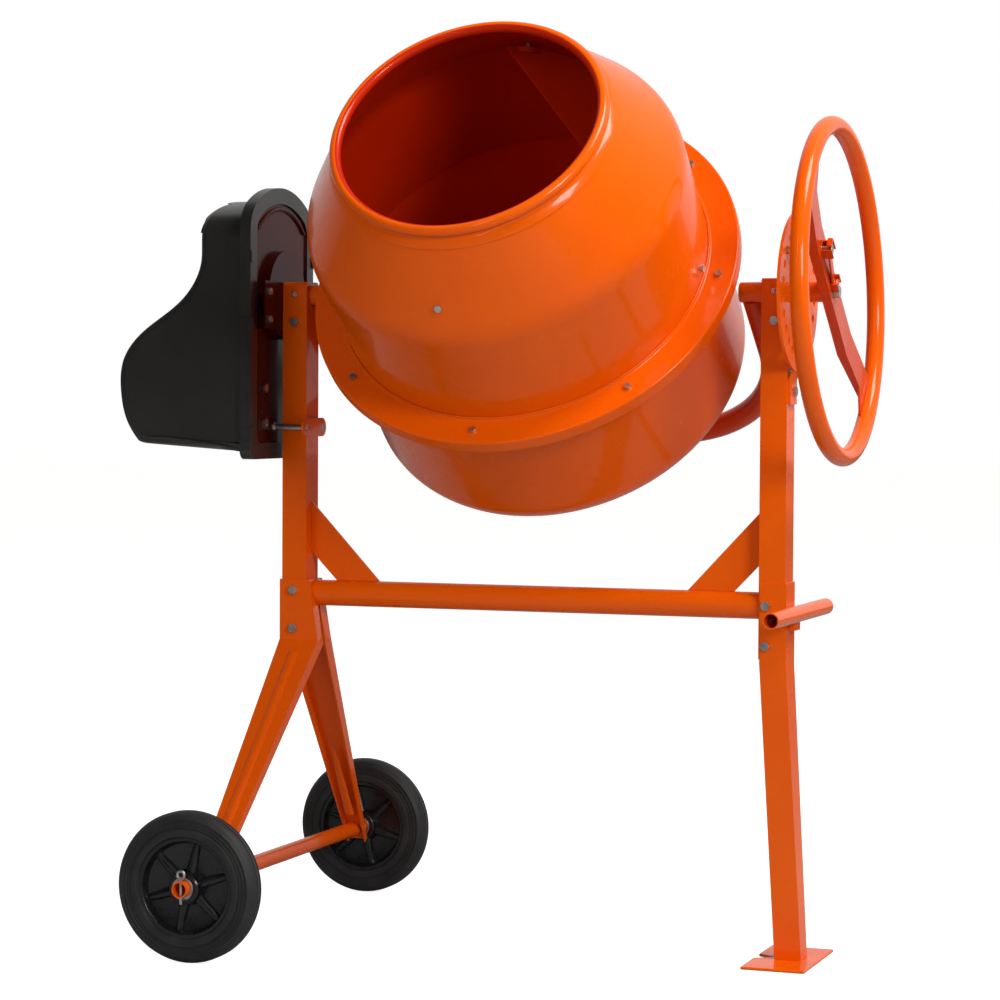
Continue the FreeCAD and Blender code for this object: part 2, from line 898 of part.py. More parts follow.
def latch_pin():
    # slides through the spoke's web; its collar carries the spring and its head the lever
    head = lever_x + lock_travel + lever_thickness + pin_head_gap
    body = rod_x(lock_pin_radius, pin_tip, head, 0, lock_radius)
    pieces = [
        body,
        rod_x(pin_collar_radius, pin_collar, pin_collar + pin_collar_thickness, 0, lock_radius),
        rod_x(pin_head_radius, head, head + 2.5, 0, lock_radius),
    ]
    return along_spoke(fuse(pieces))


def latch_spring():
    # a coil between the pin's collar and the spoke's web
    start = pin_collar + pin_collar_thickness + fit_gap
    end = spoke_x - spoke_bar_sheet
    pitch = (end - start - 2 * spring_wire) / spring_turns
    coil_radius = lock_pin_radius + 1.6
    helix = Part.makeHelix(pitch, pitch * spring_turns, coil_radius)
    ring = Part.Wire(Part.Circle(V(coil_radius, 0, 0), Y, spring_wire).toShape())
    coil = Part.Wire(helix.Edges).makePipeShell([ring], True, True)
    coil.rotate(V(0, 0, 0), Y, 90)
    coil.translate(V(start + spring_wire, 0, lock_radius))
    return along_spoke(coil)


def lever_axis_x():
    return spoke_x + lever_eye_rise


def latch_lever():
    # a flat bar over the web that swings on its pivot and lifts the pin by its head
    half = lever_width / 2
    end = lock_radius + pin_head_radius + 6
    x = lever_x
    plate = box(x, x + lever_thickness, -half, half, lever_pivot_level, end)
    eye = rod_y(lever_pivot_radius + 1.4, -half, half, lever_axis_x(), lever_pivot_level)
    lip = box(x, x + 7, -half, half, end, end + 2.5)
    shape = fuse([plate, eye, lip])
    shape = shape.cut(rod_y(lever_pivot_radius + running_gap, -half - 1, half + 1, lever_axis_x(), lever_pivot_level))
    room = lock_pin_radius + 0.5
    window = box(x - 5, x + 5, -room, room, lock_radius - room - 0.7, lock_radius + room + 0.7)
    shape = shape.cut(window)
    shape.rotate(V(lever_axis_x(), 0, lever_pivot_level), Y, lever_rise)
    return along_spoke(shape)


def ears(height, low, high):
    # two small plates that stand on the web, one on each side of the lever
    reach = lever_width / 2 + ear_gap
    pieces = []
    for side in (-1, 1):
        y0 = reach if side > 0 else -reach - ear_thickness
        pieces.append(box(spoke_x, spoke_x + height, y0, y0 + ear_thickness, low, high))
    return pieces


def latch_bracket():
    # the ears that hold the lever's pivot pin between them
    reach = lever_width / 2 + ear_gap + ear_thickness + 0.5
    pieces = ears(9.5, lever_pivot_level - 6, lever_pivot_level + 9)
    pieces.append(rod_y(lever_pivot_radius, -reach, reach, lever_axis_x(), lever_pivot_level))
    return along_spoke(fuse(pieces))


def latch_keeper():
    # the ears beside the pin, which keep the lever from swinging sideways
    pieces = ears(keeper_height, lock_radius - 8, lock_radius + 8)
    return along_spoke(Part.makeCompound(pieces))


def hub_bolt():
    at = V(spoke_x, 0, tilt_height)
    washer_disc = rod_x(9.5, spoke_x, spoke_x + 1.5, 0, tilt_height)
    head = hexagon(8.0, 6.0, at + X * 1.5, X)
    return fuse([washer_disc, head])


# ---- drum -----------------------------------------------------------------------------------


def upper_outline(offset):
    # cylinder, rounded shoulder and cone of the upper drum, as one wire
    slope = math.atan2(shoulder_radius - mouth_radius, mouth_level - shoulder_level)
    bend = shoulder_round * math.tan(slope / 2)
    low = V(neck_radius - offset, 0, cone_flange)
    start = V(shoulder_radius - offset, 0, shoulder_level - bend)
    lift = offset * math.tan(slope / 2)
    corner = V(shoulder_radius - offset, 0, shoulder_level - lift)
    top = V(mouth_radius - offset / math.cos(slope), 0, mouth_level)
    away = (top - corner).normalize()
    end = corner + away * bend
    middle = corner + ((start - corner).normalize() + away) * (bend * 0.5) * 0.55
    return low, start, middle, end, top


def upper_drum():
    outer = upper_outline(0.0)
    inner = upper_outline(sheet)
    edges = [
        Part.LineSegment(outer[0], outer[1]).toShape(),
        Part.Arc(outer[1], outer[2], outer[3]).toShape(),
        Part.LineSegment(outer[3], outer[4]).toShape(),
        Part.LineSegment(outer[4], inner[4]).toShape(),
        Part.LineSegment(inner[4], inner[3]).toShape(),
        Part.Arc(inner[3], inner[2], inner[1]).toShape(),
        Part.LineSegment(inner[1], inner[0]).toShape(),
        Part.LineSegment(inner[0], outer[0]).toShape(),
    ]
    shell = Part.Face(Part.Wire(edges)).revolve(V(0, 0, 0), Z, 360)
    bead = Part.makeTorus(mouth_radius, bead_radius, V(0, 0, mouth_level))
    flange = rod_z(ring_radius - 8, cone_flange, stack_level)
    flange = flange.cut(rod_z(neck_radius - sheet, cone_flange - 1, stack_level + 1))
    shape = fuse([shell, bead, flange])
    for at in blade_bolt_places():
        shape = shape.cut(hole(at[0], at[1], 14, ring_bolt_radius))
    return onto_drum(drill_ring(shape))


def drum_bowl():
    floor_round = bowl_round - sheet
    edges = []
    for offset, curve in ((0.0, bowl_round), (sheet, floor_round)):
        radius = bowl_radius - offset
        low = bowl_bottom + offset
        turn = curve * (1 - math.sqrt(0.5))
        edges.append([
            V(0, 0, low),
            V(radius - curve, 0, low),
            V(radius - turn, 0, low + turn),
            V(radius, 0, low + curve),
            V(bowl_top_radius - offset, 0, gear_top),
        ])
    outer, inner = edges
    wire = [
        Part.LineSegment(outer[0], outer[1]).toShape(),
        Part.Arc(outer[1], outer[2], outer[3]).toShape(),
        Part.LineSegment(outer[3], outer[4]).toShape(),
        Part.LineSegment(outer[4], inner[4]).toShape(),
        Part.LineSegment(inner[4], inner[3]).toShape(),
        Part.Arc(inner[3], inner[2], inner[1]).toShape(),
        Part.LineSegment(inner[1], inner[0]).toShape(),
        Part.LineSegment(inner[0], outer[0]).toShape(),
    ]
    shell = Part.Face(Part.Wire(wire)).revolve(V(0, 0, 0), Z, 360)
    flange = rod_z(ring_radius - 5, gear_top, cone_flange)
    flange = flange.cut(rod_z(bowl_top_radius - sheet, gear_top - 1, cone_flange + 1))
    shape = fuse([shell, flange])
    for at in hub_bolt_places():
        shape = shape.cut(hole(at, Z, hub_flange_thickness + sheet + 2))
    return onto_drum(drill_ring(shape))


def ring_bolt_places():
    places = []
    for step in range(ring_bolt_count):
        turn = math.radians(-92 + 360 / ring_bolt_count * step)
        places.append(V(ring_bolt_circle * math.cos(turn), ring_bolt_circle * math.sin(turn), ring_level))
    return places


def drill_ring(shape):
    for at in ring_bolt_places():
        shape = shape.cut(hole(at, Z * -1, ring_level, ring_bolt_radius))
    return shape


def guard_ring():
    # a flat ring over the gear with its outer edge turned down
    lip = 7.0
    plate = rod_z(ring_radius, stack_level - lip, ring_level)
    plate = plate.cut(rod_z(ring_radius - ring_sheet, stack_level - lip - 1, stack_level))
    plate = plate.cut(rod_z(neck_radius + fit_gap, stack_level - lip - 1, ring_level + 1))
    edge = [item for item in plate.Edges if item.BoundBox.ZMin > ring_level - 0.01 and item.Length > 6.2 * ring_radius]
    plate = plate.makeFillet(ring_sheet * 0.8, edge[:1])
    return onto_drum(drill_ring(plate))


def ring_bolts():
    grip = ring_sheet + 2 * sheet + gear_top - pinion_radius - tooth_root - 1
    parts = []
    for at in ring_bolt_places():
        parts.append(bolt(at, Z * -1, grip, ring_bolt_radius, 5.0, False))
    return onto_drum(Part.makeCompound(parts))


def ring_gear():
    # a ring whose teeth point away from the mouth and mesh with the pinion
    inner = gear_radius - gear_face / 2
    outer = gear_radius + gear_face / 2
    root = pinion_radius + tooth_root
    tip = pinion_radius - tooth_tip
    ring = rod_z(outer, root, gear_top).cut(rod_z(inner, root - 1, gear_top + 1))
    lean = math.tan(math.radians(pressure_angle))
    half = math.pi * gear_module / 4 - backlash / 2
    tooth = []
    for radius in (inner, outer):
        scale = radius / gear_radius
        at_root = (half + tooth_root * lean) * scale
        at_tip = (half - tooth_tip * lean) * scale
        tooth.append([
            V(radius, -at_root, root + 0.01),
            V(radius, at_root, root + 0.01),
            V(radius, at_tip, tip),
            V(radius, -at_tip, tip),
        ])
    wedge = loft(tooth)
    pitch = 360 / ring_teeth
    teeth = []
    for step in range(ring_teeth):
        copy = wedge.copy()
        copy.rotate(V(0, 0, 0), Z, 180 + pitch / 2 + pitch * step)
        teeth.append(copy)
    shape = ring.multiFuse(teeth)
    for at in ring_bolt_places():
        shape = shape.cut(hole(at, Z * -1, ring_level, ring_bolt_radius))
    return onto_drum(shape)


def pinion():
    start = -(gear_radius + gear_face / 2)
    lean = math.tan(math.radians(pressure_angle))
    half = math.pi * gear_module / 4 - backlash / 2
    root = pinion_radius - tooth_root
    tip = pinion_radius + tooth_tip
    at_root = half + tooth_root * lean * 0.4
    at_tip = half - tooth_tip * lean * 1.15
    body = rod_x(root, start, start + gear_face, 0, 0)
    tooth = face_of([
        V(start, -at_root, root - 2),
        V(start, at_root, root - 2),
        V(start, half, pinion_radius),
        V(start, at_tip, tip),
        V(start, -at_tip, tip),
        V(start, -half, pinion_radius),
    ]).extrude(V(gear_face, 0, 0))
    teeth = []
    for step in range(pinion_teeth):
        copy = tooth.copy()
        copy.rotate(V(0, 0, 0), X, 360 / pinion_teeth * step)
        teeth.append(copy)
    shape = body.multiFuse(teeth).removeSplitter()
    shape = shape.cut(rod_x(shaft_core_radius, start - 1, start + gear_face + 1, 0, 0))
    return onto_drum(shape)


def drum_hub():
    # the flange under the drum and the shaft that turns in the bearings
    flange = rod_z(hub_flange_radius, bowl_bottom - hub_flange_thickness, bowl_bottom)
    boss = rod_z(shaft_radius + 4, housing_top() + 1, bowl_bottom)
    shaft = rod_z(shaft_radius, yoke_level - yoke_radius + housing_wall + 4, bowl_bottom)
    shape = fuse([flange, boss, shaft])
    for at in hub_bolt_places():
        shape = shape.cut(hole(at, Z, hub_flange_thickness + 3))
    return onto_drum(shape)


def hub_bolt_places():
    places = []
    for step in range(4):
        turn = math.radians(45 + 90 * step)
        reach = hub_flange_radius - 15
        places.append(V(reach * math.cos(turn), reach * math.sin(turn), bowl_bottom - hub_flange_thickness))
    return places


def hub_bolts():
    grip = hub_flange_thickness + sheet
    return onto_drum(Part.makeCompound([bolt(at, Z, grip) for at in hub_bolt_places()]))


def inside_drum(gap):
    # the space inside both halves, kept a little off the walls
    slope = math.atan2(shoulder_radius - mouth_radius, mouth_level - shoulder_level)
    wall = sheet + gap
    narrow = wall / math.cos(slope)
    points = [
        V(0, 0, bowl_bottom + wall),
        V(bowl_radius - bowl_round, 0, bowl_bottom + wall),
        V(bowl_radius - wall - bowl_round * 0.3, 0, bowl_bottom + bowl_round * 0.3 + wall),
        V(neck_radius - wall, 0, bowl_bottom + bowl_round + wall),
        V(neck_radius - wall, 0, cone_flange),
        V(shoulder_radius - wall - 3, 0, shoulder_level - 14),
        V(mouth_radius - narrow, 0, mouth_level),
        V(0, 0, mouth_level),
    ]
    return face_of(points).revolve(V(0, 0, 0), Z, 360)


def blade_ends():
    slope = (shoulder_radius - mouth_radius) / (mouth_level - shoulder_level)
    top_radius = shoulder_radius - (blade_top_level - shoulder_level) * slope
    top = math.radians(blade_start)
    low = math.radians(blade_start - blade_turn - 4)
    return [
        V(top_radius * math.cos(top), top_radius * math.sin(top), blade_top_level),
        V(shoulder_radius * math.cos(low), shoulder_radius * math.sin(low), blade_low_level),
    ]


def blade_bolt_places():
    slope = math.atan2(shoulder_radius - mouth_radius, mouth_level - shoulder_level)
    top, low = blade_ends()
    inward_top = V(-top.x, -top.y, 0).normalize() * math.cos(slope) - Z * math.sin(slope)
    inward_low = V(-low.x, -low.y, 0).normalize()
    places = [(top, inward_top), (low, inward_low)]
    for at, inward in list(places):
        places.append((V(-at.x, -at.y, at.z), V(-inward.x, -inward.y, inward.z)))
    return places


def blade(turn):
    # a flat paddle whose free edge is the chord between its two feet
    top, low = blade_ends()
    middle = math.radians(blade_start - blade_turn / 2)
    wall = V(neck_radius * math.cos(middle), neck_radius * math.sin(middle), (top.z + low.z) / 2 - 20)
    along = (low - top).normalize()
    across = wall - top
    across = (across - along * across.dot(along)).normalize()
    normal = along.cross(across)
    span = (low - top).Length
    corner = V(-blade_overrun, -blade_reach, -blade_thickness / 2)
    slab = Part.makeBox(span + 2 * blade_overrun, blade_reach + neck_radius, blade_thickness, corner)
    matrix = FreeCAD.Matrix(
        along.x, across.x, normal.x, top.x,
        along.y, across.y, normal.y, top.y,
        along.z, across.z, normal.z, top.z,
        0, 0, 0, 1,
    )
    slab = slab.transformGeometry(matrix)
    room = inside_drum(blade_gap)
    paddle = slab.common(room)
    paddle = sorted(paddle.Solids, key=lambda solid: solid.Volume)[-1]
    pieces = [paddle]
    for at, inward in blade_bolt_places()[:2]:
        reach = blade_foot / 2
        foot = Part.makeCylinder(reach, 16.0, at + inward * (sheet - 2), inward).common(room)
        pieces.append(foot)
    shape = fuse(pieces)
    for at, inward in blade_bolt_places()[:2]:
        shape = shape.cut(hole(at, inward, 16, ring_bolt_radius))
    shape = sorted(shape.Solids, key=lambda solid: solid.Volume)[-1]
    shape.rotate(V(0, 0, 0), Z, turn)
    return onto_drum(shape)


def blade_bolts():
    parts = [bolt(at, inward, 12, ring_bolt_radius, 5.0, False) for at, inward in blade_bolt_places()]
    return onto_drum(Part.makeCompound(parts))


# ---- drive housing --------------------------------------------------------------------------


def arch_face(inset, x, drop=0.0):
    # the housing's outline seen along X: an upright oblong with a flat arch on top
    half = plate_half_width - inset
    low = plate_bottom + inset
    foot = plate_foot_round
    crown = crown_height - inset - drop
    radius = plate_crown_radius - inset
    corner = plate_corner_radius - inset
    side = half - corner
    lift = math.sqrt((radius - corner) ** 2 - side ** 2)
    spring = crown - radius + lift
    swing = math.atan2(side, lift)
    meet_y = radius * math.sin(swing)
    meet_z = crown - radius + radius * math.cos(swing)
    middle = (math.pi / 2 + swing) / 2
    middle_y = side + corner * math.sin(middle)
    middle_z = spring + corner * math.cos(middle)
    turn = foot * (1 - math.sqrt(0.5))
    arcs = [
        (V(x, -meet_y, meet_z), V(x, 0, crown), V(x, meet_y, meet_z)),
        (V(x, meet_y, meet_z), V(x, middle_y, middle_z), V(x, half, spring)),
        (V(x, half, low + foot), V(x, half - turn, low + turn), V(x, half - foot, low)),
        (V(x, -half + foot, low), V(x, -half + turn, low + turn), V(x, -half, low + foot)),
        (V(x, -half, spring), V(x, -middle_y, middle_z), V(x, -meet_y, meet_z)),
    ]
    edges = []
    for index, (start, through, end) in enumerate(arcs):
        edges.append(Part.Arc(start, through, end).toShape())
        following = arcs[(index + 1) % len(arcs)][0]
        if end.distanceToPoint(following) > 0.001:
            edges.append(Part.LineSegment(end, following).toShape())
    return Part.Face(Part.Wire(edges))


def cover_side(inset):
    # the cover's outline seen along Y: shallow at the top, swelling round the motor below
    top_x = plate_x - rim_depth - cover_top_depth + inset
    swell = cover_bulge_depth - cover_top_depth
    skirt_x = plate_x - rim_depth - cover_skirt_depth + inset
    top = crown_height - cover_inset - cover_top_drop - inset
    low = plate_bottom + cover_inset + inset
    bend = top - cover_top_round
    turn = cover_top_round * (1 - math.sqrt(0.5))
    curve = Part.BSplineCurve()
    curve.interpolate([
        V(top_x, 0, tilt_height + 58),
        V(top_x - swell * 0.05, 0, tilt_height + 26),
        V(top_x - swell * 0.25, 0, tilt_height - 9),
        V(top_x - swell * 0.73, 0, tilt_height - 53),
        V(top_x - swell * 0.97, 0, bulge_height + 42),
        V(top_x - swell, 0, bulge_height),
        V(top_x - swell * 0.9, 0, bulge_height - 48),
        V(skirt_x, 0, low + cover_underside_rise),
    ])
    edges = [
        Part.LineSegment(V(plate_x, 0, low), V(plate_x, 0, top)).toShape(),
        Part.LineSegment(V(plate_x, 0, top), V(top_x + cover_top_round, 0, top)).toShape(),
        Part.Arc(
            V(top_x + cover_top_round, 0, top),
            V(top_x + turn, 0, top - turn),
            V(top_x, 0, bend),
        ).toShape(),
        Part.LineSegment(V(top_x, 0, bend), V(top_x, 0, tilt_height + 58)).toShape(),
        curve.toShape(),
        Part.LineSegment(V(skirt_x, 0, low + cover_underside_rise), V(plate_x, 0, low)).toShape(),
    ]
    return Part.Face(Part.Wire(edges))


def cover_solid(inset):
    side = cover_side(inset)
    side.translate(V(0, -plate_half_width - 5, 0))
    prism = side.extrude(V(0, 2 * plate_half_width + 10, 0))
    outside = rim_x - cover_bulge_depth - 10
    arch = arch_face(cover_inset + inset, outside, cover_top_drop).extrude(V(rim_x - outside, 0, 0))
    return prism.common(arch)


def housing_cover():
    # a moulded shell with a deep flange whose turned-in face frames the back plate
    shell = cover_solid(0.0).cut(cover_solid(cover_wall))
    flange = arch_face(0.0, rim_x).extrude(V(rim_depth, 0, 0))
    hollow = arch_face(cover_wall, rim_x + cover_wall).extrude(V(rim_depth - 2 * cover_wall, 0, 0))
    window = arch_face(rim_face, rim_x + cover_wall).extrude(V(rim_depth, 0, 0))
    mouth = arch_face(cover_inset + cover_wall, rim_x - 5, cover_top_drop).extrude(V(rim_depth, 0, 0))
    behind = box(rim_x - 5, rim_x + cover_wall, -plate_half_width, plate_half_width, plate_bottom, crown_height)
    mouth = mouth.common(behind)
    flange = flange.cut(hollow).cut(window).cut(mouth)
    shape = fuse([shell, flange])
    return shape.cut(switch_opening())


def back_plate():
    back = plate_face - plate_thickness
    plate = arch_face(cover_wall + fit_gap, back).extrude(V(plate_thickness, 0, 0))
    boss = rod_x(boss_radius, back, boss_face, 0, tilt_height)
    hollow = rod_x(boss_radius - plate_thickness, back - 1, boss_face - plate_thickness, 0, tilt_height)
    shape = fuse([plate, boss]).cut(hollow)
    top_bead = Part.makeTorus(boss_radius + 50, 3.0, V(plate_face + 0.5, 0, tilt_height + 8), X)
    upper = box(back, plate_face + 5, -80, 80, tilt_height + 88, tilt_height + 126)
    shape = shape.fuse(top_bead.common(upper)).removeSplitter()
    shape = shape.cut(rod_x(pivot_radius + 2, back - 1, boss_face + 1, 0, tilt_height))
    for at in bracket_bolts_at():
        shape = shape.cut(hole(at, X * -1, 22, 3.0))
    for at in stud_places() + stay_places():
        shape = shape.cut(hole(at + X * 2, X * -1, 8))
    return shape


def bracket_bolts_at():
    x = boss_face + bracket_thickness
    places = []
    for y in (-bracket_bolt_reach, bracket_bolt_reach):
        places.append(V(x, y, tilt_height + 3))
        places.append(V(x, y, tilt_height - 35))
    return places


def mounting_bracket():
    # the plate between the left bearing cap and the housing, on four spacers
    low = tilt_height - bracket_below
    high = tilt_height + bracket_above
    stop = boss_face + bracket_thickness
    plate = box(boss_face, stop, -bracket_half_width, bracket_half_width, low, high)
    plate = plate.cut(rod_x(pivot_radius + 1.5, boss_face - 1, stop + 1, 0, tilt_height))
    spacers = [rod_x(5.5, plate_face, boss_face, at.y, at.z) for at in bracket_bolts_at()]
    shape = fuse([plate] + spacers)
    for at in bracket_bolts_at():
        shape = shape.cut(hole(at, X * -1, 20, 3.0))
    return shape


def cover_clips():
    clips = []
    for level in clip_levels:
        for side in (-1, 1):
            clips.append(clip(side, tilt_height + level))
    return Part.makeCompound(clips)


def clip(side, z):
    y0 = plate_half_width + 0.1
    low = z - clip_height / 2
    high = z + clip_height / 2
    piece = box(rim_x + 2, plate_x + 2.5, y0, y0 + 1.6, low, high)
    hook = box(plate_x + 0.3, plate_x + 2.5, y0 - 7, y0 + 1.6, low, high)
    shape = piece.fuse(hook).removeSplitter()
    if side < 0:
        shape = shape.mirror(V(0, 0, 0), Y)
    return shape


def stay_places():
    return [V(plate_face, side * stay_offset, stay_height) for side in (-1, 1)]


def stay_rods():
    # screwed into the strap and flush with it, so the yoke's arm swings past them
    rods = []
    strap_end = -(post_inner - stay_strap_sheet)
    for side in (-1, 1):
        y = side * stay_offset
        rod = rod_x(stay_radius, plate_face - 8, strap_end, y, stay_height)
        nut = hexagon(head_radius, head_height, V(plate_face, y, stay_height), X)
        rods.append(rod.fuse(nut).removeSplitter())
    return Part.makeCompound(rods)


def stay_strap():
    x0 = -post_inner
    x1 = x0 + stay_strap_sheet
    low = stay_height - stay_strap_radius
    high = stay_height + stay_strap_radius
    strap = box(x0, x1, -stay_offset, stay_offset, low, high)
    pieces = [strap]
    for side in (-1, 1):
        pieces.append(rod_x(stay_strap_radius, x0, x1, side * stay_offset, stay_height))
    shape = fuse(pieces)
    for side in (-1, 1):
        at = V(x0 - 1, side * stay_offset, stay_height)
        shape = shape.cut(hole(at, X, stay_strap_sheet + 2, stay_radius))
    return shape


# ---- belt drive -----------------------------------------------------------------------------


def drive_shaft():
    return rod_x(shaft_core_radius, shaft_end, -(gear_radius - gear_face / 2), 0, tilt_height)


def shaft_bearings():
    # two bushes inside the left pivot tube
    start = boss_face + 1
    stop = -(gear_radius + gear_face / 2 + 4)
    length = 16.0
    rings = []
    for x0 in (start, stop - length):
        outer = rod_x(pivot_radius - pivot_wall, x0, x0 + length, 0, tilt_height)
        rings.append(outer.cut(rod_x(shaft_core_radius + running_gap, x0 - 1, x0 + length + 1, 0, tilt_height)))
    return Part.makeCompound(rings)


def grooved_wheel(radius, z, bore):
    rim_outer = rod_x(radius + 3, pulley_x, pulley_x + pulley_width, 0, z)
    groove = rod_x(radius + 10, pulley_x + 2, pulley_x + pulley_width - 2, 0, z)
    groove = groove.cut(rod_x(radius, pulley_x, pulley_x + pulley_width, 0, z))
    shape = rim_outer.cut(groove)
    return shape.cut(rod_x(bore, pulley_x - 1, pulley_x + pulley_width + 1, 0, z))


def large_pulley():
    shape = grooved_wheel(large_pulley_radius, tilt_height, shaft_core_radius)
    for step in range(5):
        window = rod_x(17.0, pulley_x - 1, pulley_x + pulley_width + 1, 0, 50)
        window.rotate(V(0, 0, 0), X, 72 * step)
        window.translate(V(0, 0, tilt_height))
        shape = shape.cut(window)
    return shape


def motor_pulley():
    # the pulley with the motor's shaft end pressed into it
    wheel = grooved_wheel(motor_pulley_radius, motor_height, motor_shaft_radius)
    shaft = rod_x(motor_shaft_radius, motor_front() - 20, pulley_x + pulley_width, 0, motor_height)
    return fuse([wheel, shaft])


def motor_front():
    return pulley_x - 4


def belt_loop(extra):
    # the outline round both pulleys, from two circles and their common tangents
    big = large_pulley_radius + extra
    small = motor_pulley_radius + extra
    swing = math.asin((big - small) / motor_axis_drop)
    rise = math.sin(swing)
    side = math.cos(swing)
    big_left = V(0, -big * side, tilt_height - big * rise)
    big_right = V(0, big * side, tilt_height - big * rise)
    small_left = V(0, -small * side, motor_height - small * rise)
    small_right = V(0, small * side, motor_height - small * rise)
    edges = [
        Part.Arc(big_left, V(0, 0, tilt_height + big), big_right).toShape(),
        Part.LineSegment(big_right, small_right).toShape(),
        Part.Arc(small_right, V(0, 0, motor_height - small), small_left).toShape(),
        Part.LineSegment(small_left, big_left).toShape(),
    ]
    return Part.Face(Part.Wire(edges))


def belt():
    clear = 0.3
    outer = belt_loop(clear + belt_thickness)
    inner = belt_loop(clear)
    x = pulley_x + (pulley_width - belt_width) / 2 + clear
    ring = outer.cut(inner).extrude(V(belt_width - 2 * clear, 0, 0))
    ring.translate(V(x, 0, 0))
    return ring


def stud_places():
    places = []
    for y in (-stud_reach, stud_reach):
        for z in (motor_height - 36, motor_height + 12):
            places.append(V(plate_face, y, z))
    return places


def motor():
    # stator can with cooling ribs and a square flange that hangs on the studs
    front = motor_front()
    can = rod_x(motor_radius - 4, front - motor_length, front - 3, 0, motor_height)
    pieces = [can]
    for step in range(7):
        x0 = front - 24 - 16 * step
        pieces.append(rod_x(motor_radius, x0 - 8, x0, 0, motor_height))
    low = motor_height - 46
    high = motor_height + 22
    pieces.append(box(front - 3, front, -stud_reach - 9, stud_reach + 9, low, high))
    shape = fuse(pieces)
    shape = shape.cut(rod_x(motor_shaft_radius + running_gap, front - motor_bore_depth, front + 1, 0, motor_height))
    shape = shape.cut(rod_x(motor_shaft_room, front - motor_bore_depth, front - 4, 0, motor_height))
    for at in stud_places():
        shape = shape.cut(hole(V(front + 1, at.y, at.z), X * -1, stud_head_room))
    return shape


def motor_studs():
    studs = []
    grip = plate_face - motor_front() + 3
    for at in stud_places():
        stud = bolt(at, X * -1, grip, stud_radius, head_radius, False)
        collar = rod_x(6.0, motor_front(), plate_face - plate_thickness, at.y, at.z)
        studs.append(fuse([stud, collar]))
    return Part.makeCompound(studs)


def capacitor():
    front = motor_front()
    z = motor_height + 22
    y = 67.0
    return rod_x(15.0, front - 90, front - 25, y, z + 10)


# ---- switch and inlet -----------------------------------------------------------------------


def switch_opening():
    half = switch_width / 2 - 5
    return box(switch_x - half, switch_x + half, cover_face - 10, cover_face + 5, switch_z - 30, switch_z + 30)


def button_heights():
    return {"on_button": switch_z + 26, "off_button": switch_z + 2}


def switch_box():
    half = switch_width / 2
    low = switch_z - switch_height / 2
    high = switch_z + switch_height / 2
    shape = box(switch_x - half, switch_x + half, cover_face, cover_face + switch_depth, low, high)
    upright = [edge for edge in shape.Edges if abs(edge.Length - switch_depth) < 0.01]
    shape = shape.makeFillet(6.0, upright)
    for z in button_heights().values():
        depth = switch_depth - 1.5
        shape = shape.cut(rod_y(button_radius + button_gap, cover_face + 1.5, cover_face + 1.5 + depth, switch_x, z))
    socket = rod_y(13.0, cover_face + 2, cover_face + switch_depth + 1, switch_x, switch_z - 25)
    return shape.cut(socket)


def button(z):
    start = cover_face + 1.5 + button_travel + 0.3
    return rod_y(button_radius, start, cover_face + switch_depth + button_rise, switch_x, z)


def inlet_pins():
    pins = []
    for x, z in ((-5, -22), (5, -22), (0, -31)):
        pins.append(rod_y(2.0, cover_face + 2, cover_face + 10, switch_x + x, switch_z + z))
    return Part.makeCompound(pins)


def build():
    os.makedirs("parts", exist_ok=True)
    save("left_post", post(-1))
    save("right_post", post(1))
    save("left_cap", cap(-1))
    save("right_cap", cap(1))
    save("pivot_bushes", pivot_bushes())
    save("cross_tube", cross_tube())
    save("gussets", Part.makeCompound([gusset(-1), gusset(1)]))
    save("front_wheel_leg", wheel_leg(-1))
    save("rear_wheel_leg", wheel_leg(1))
    save("axle_tube", axle_tube())
    save("axle_hardware", Part.makeCompound([cotter_pins(), hub_washers()]))
    save("front_tyre", tyre(-1))
    save("rear_tyre", tyre(1))
    save("front_rim", rim(-1))
    save("rear_rim", rim(1))
    save("support_leg", support_leg())
    save("foot_plate", foot_plate())
    save("transport_handle", transport_handle())
    save("handle_bracket", handle_bracket())
    save("frame_bolts", frame_bolts())
    save("grease_nipples", grease_nipples())
    save("left_pivot_tube", left_pivot())
    save("right_pivot_tube", right_pivot())
    save("yoke_tube", yoke_tube())
    save("bearing_housing", bearing_housing())
    save("drum_bearings", drum_bearings())
    save("hand_wheel_ring", hand_wheel())
    save("hand_wheel_spoke", hand_wheel_spoke())
    save("hub_bolt", hub_bolt())
    save("locking_disc", locking_disc())
    save("latch_pin", latch_pin())
    save("latch_spring", latch_spring())
    save("latch_lever", latch_lever())
    save("latch_brackets", Part.makeCompound([latch_bracket(), latch_keeper()]))
    save("drum_bowl", drum_bowl())
    save("upper_drum", upper_drum())
    save("guard_ring", guard_ring())
    save("ring_gear", ring_gear())
    save("drum_hub", drum_hub())
    save("mixing_blades", Part.makeCompound([blade(0), blade(180)]))
    save("drum_bolts", Part.makeCompound([ring_bolts(), hub_bolts(), blade_bolts()]))
    save("pinion", pinion())
    save("drive_shaft", drive_shaft())
    save("shaft_bearings", shaft_bearings())
    save("large_pulley", large_pulley())
    save("motor_pulley", motor_pulley())
    save("belt", belt())
    save("motor", motor())
    save("motor_studs", motor_studs())
    save("capacitor", capacitor())
    save("housing_cover", housing_cover())
    save("back_plate", back_plate())
    save("mounting_bracket", mounting_bracket())
    save("cover_clips", cover_clips())
    save("stay_rods", stay_rods())
    save("stay_strap", stay_strap())
    save("switch_box", switch_box())
    save("inlet_pins", inlet_pins())
    for name, height in button_heights().items():
        save(name, button(height))


build()
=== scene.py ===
import json
import math
import bmesh
import bpy
from mathutils import Matrix, Vector


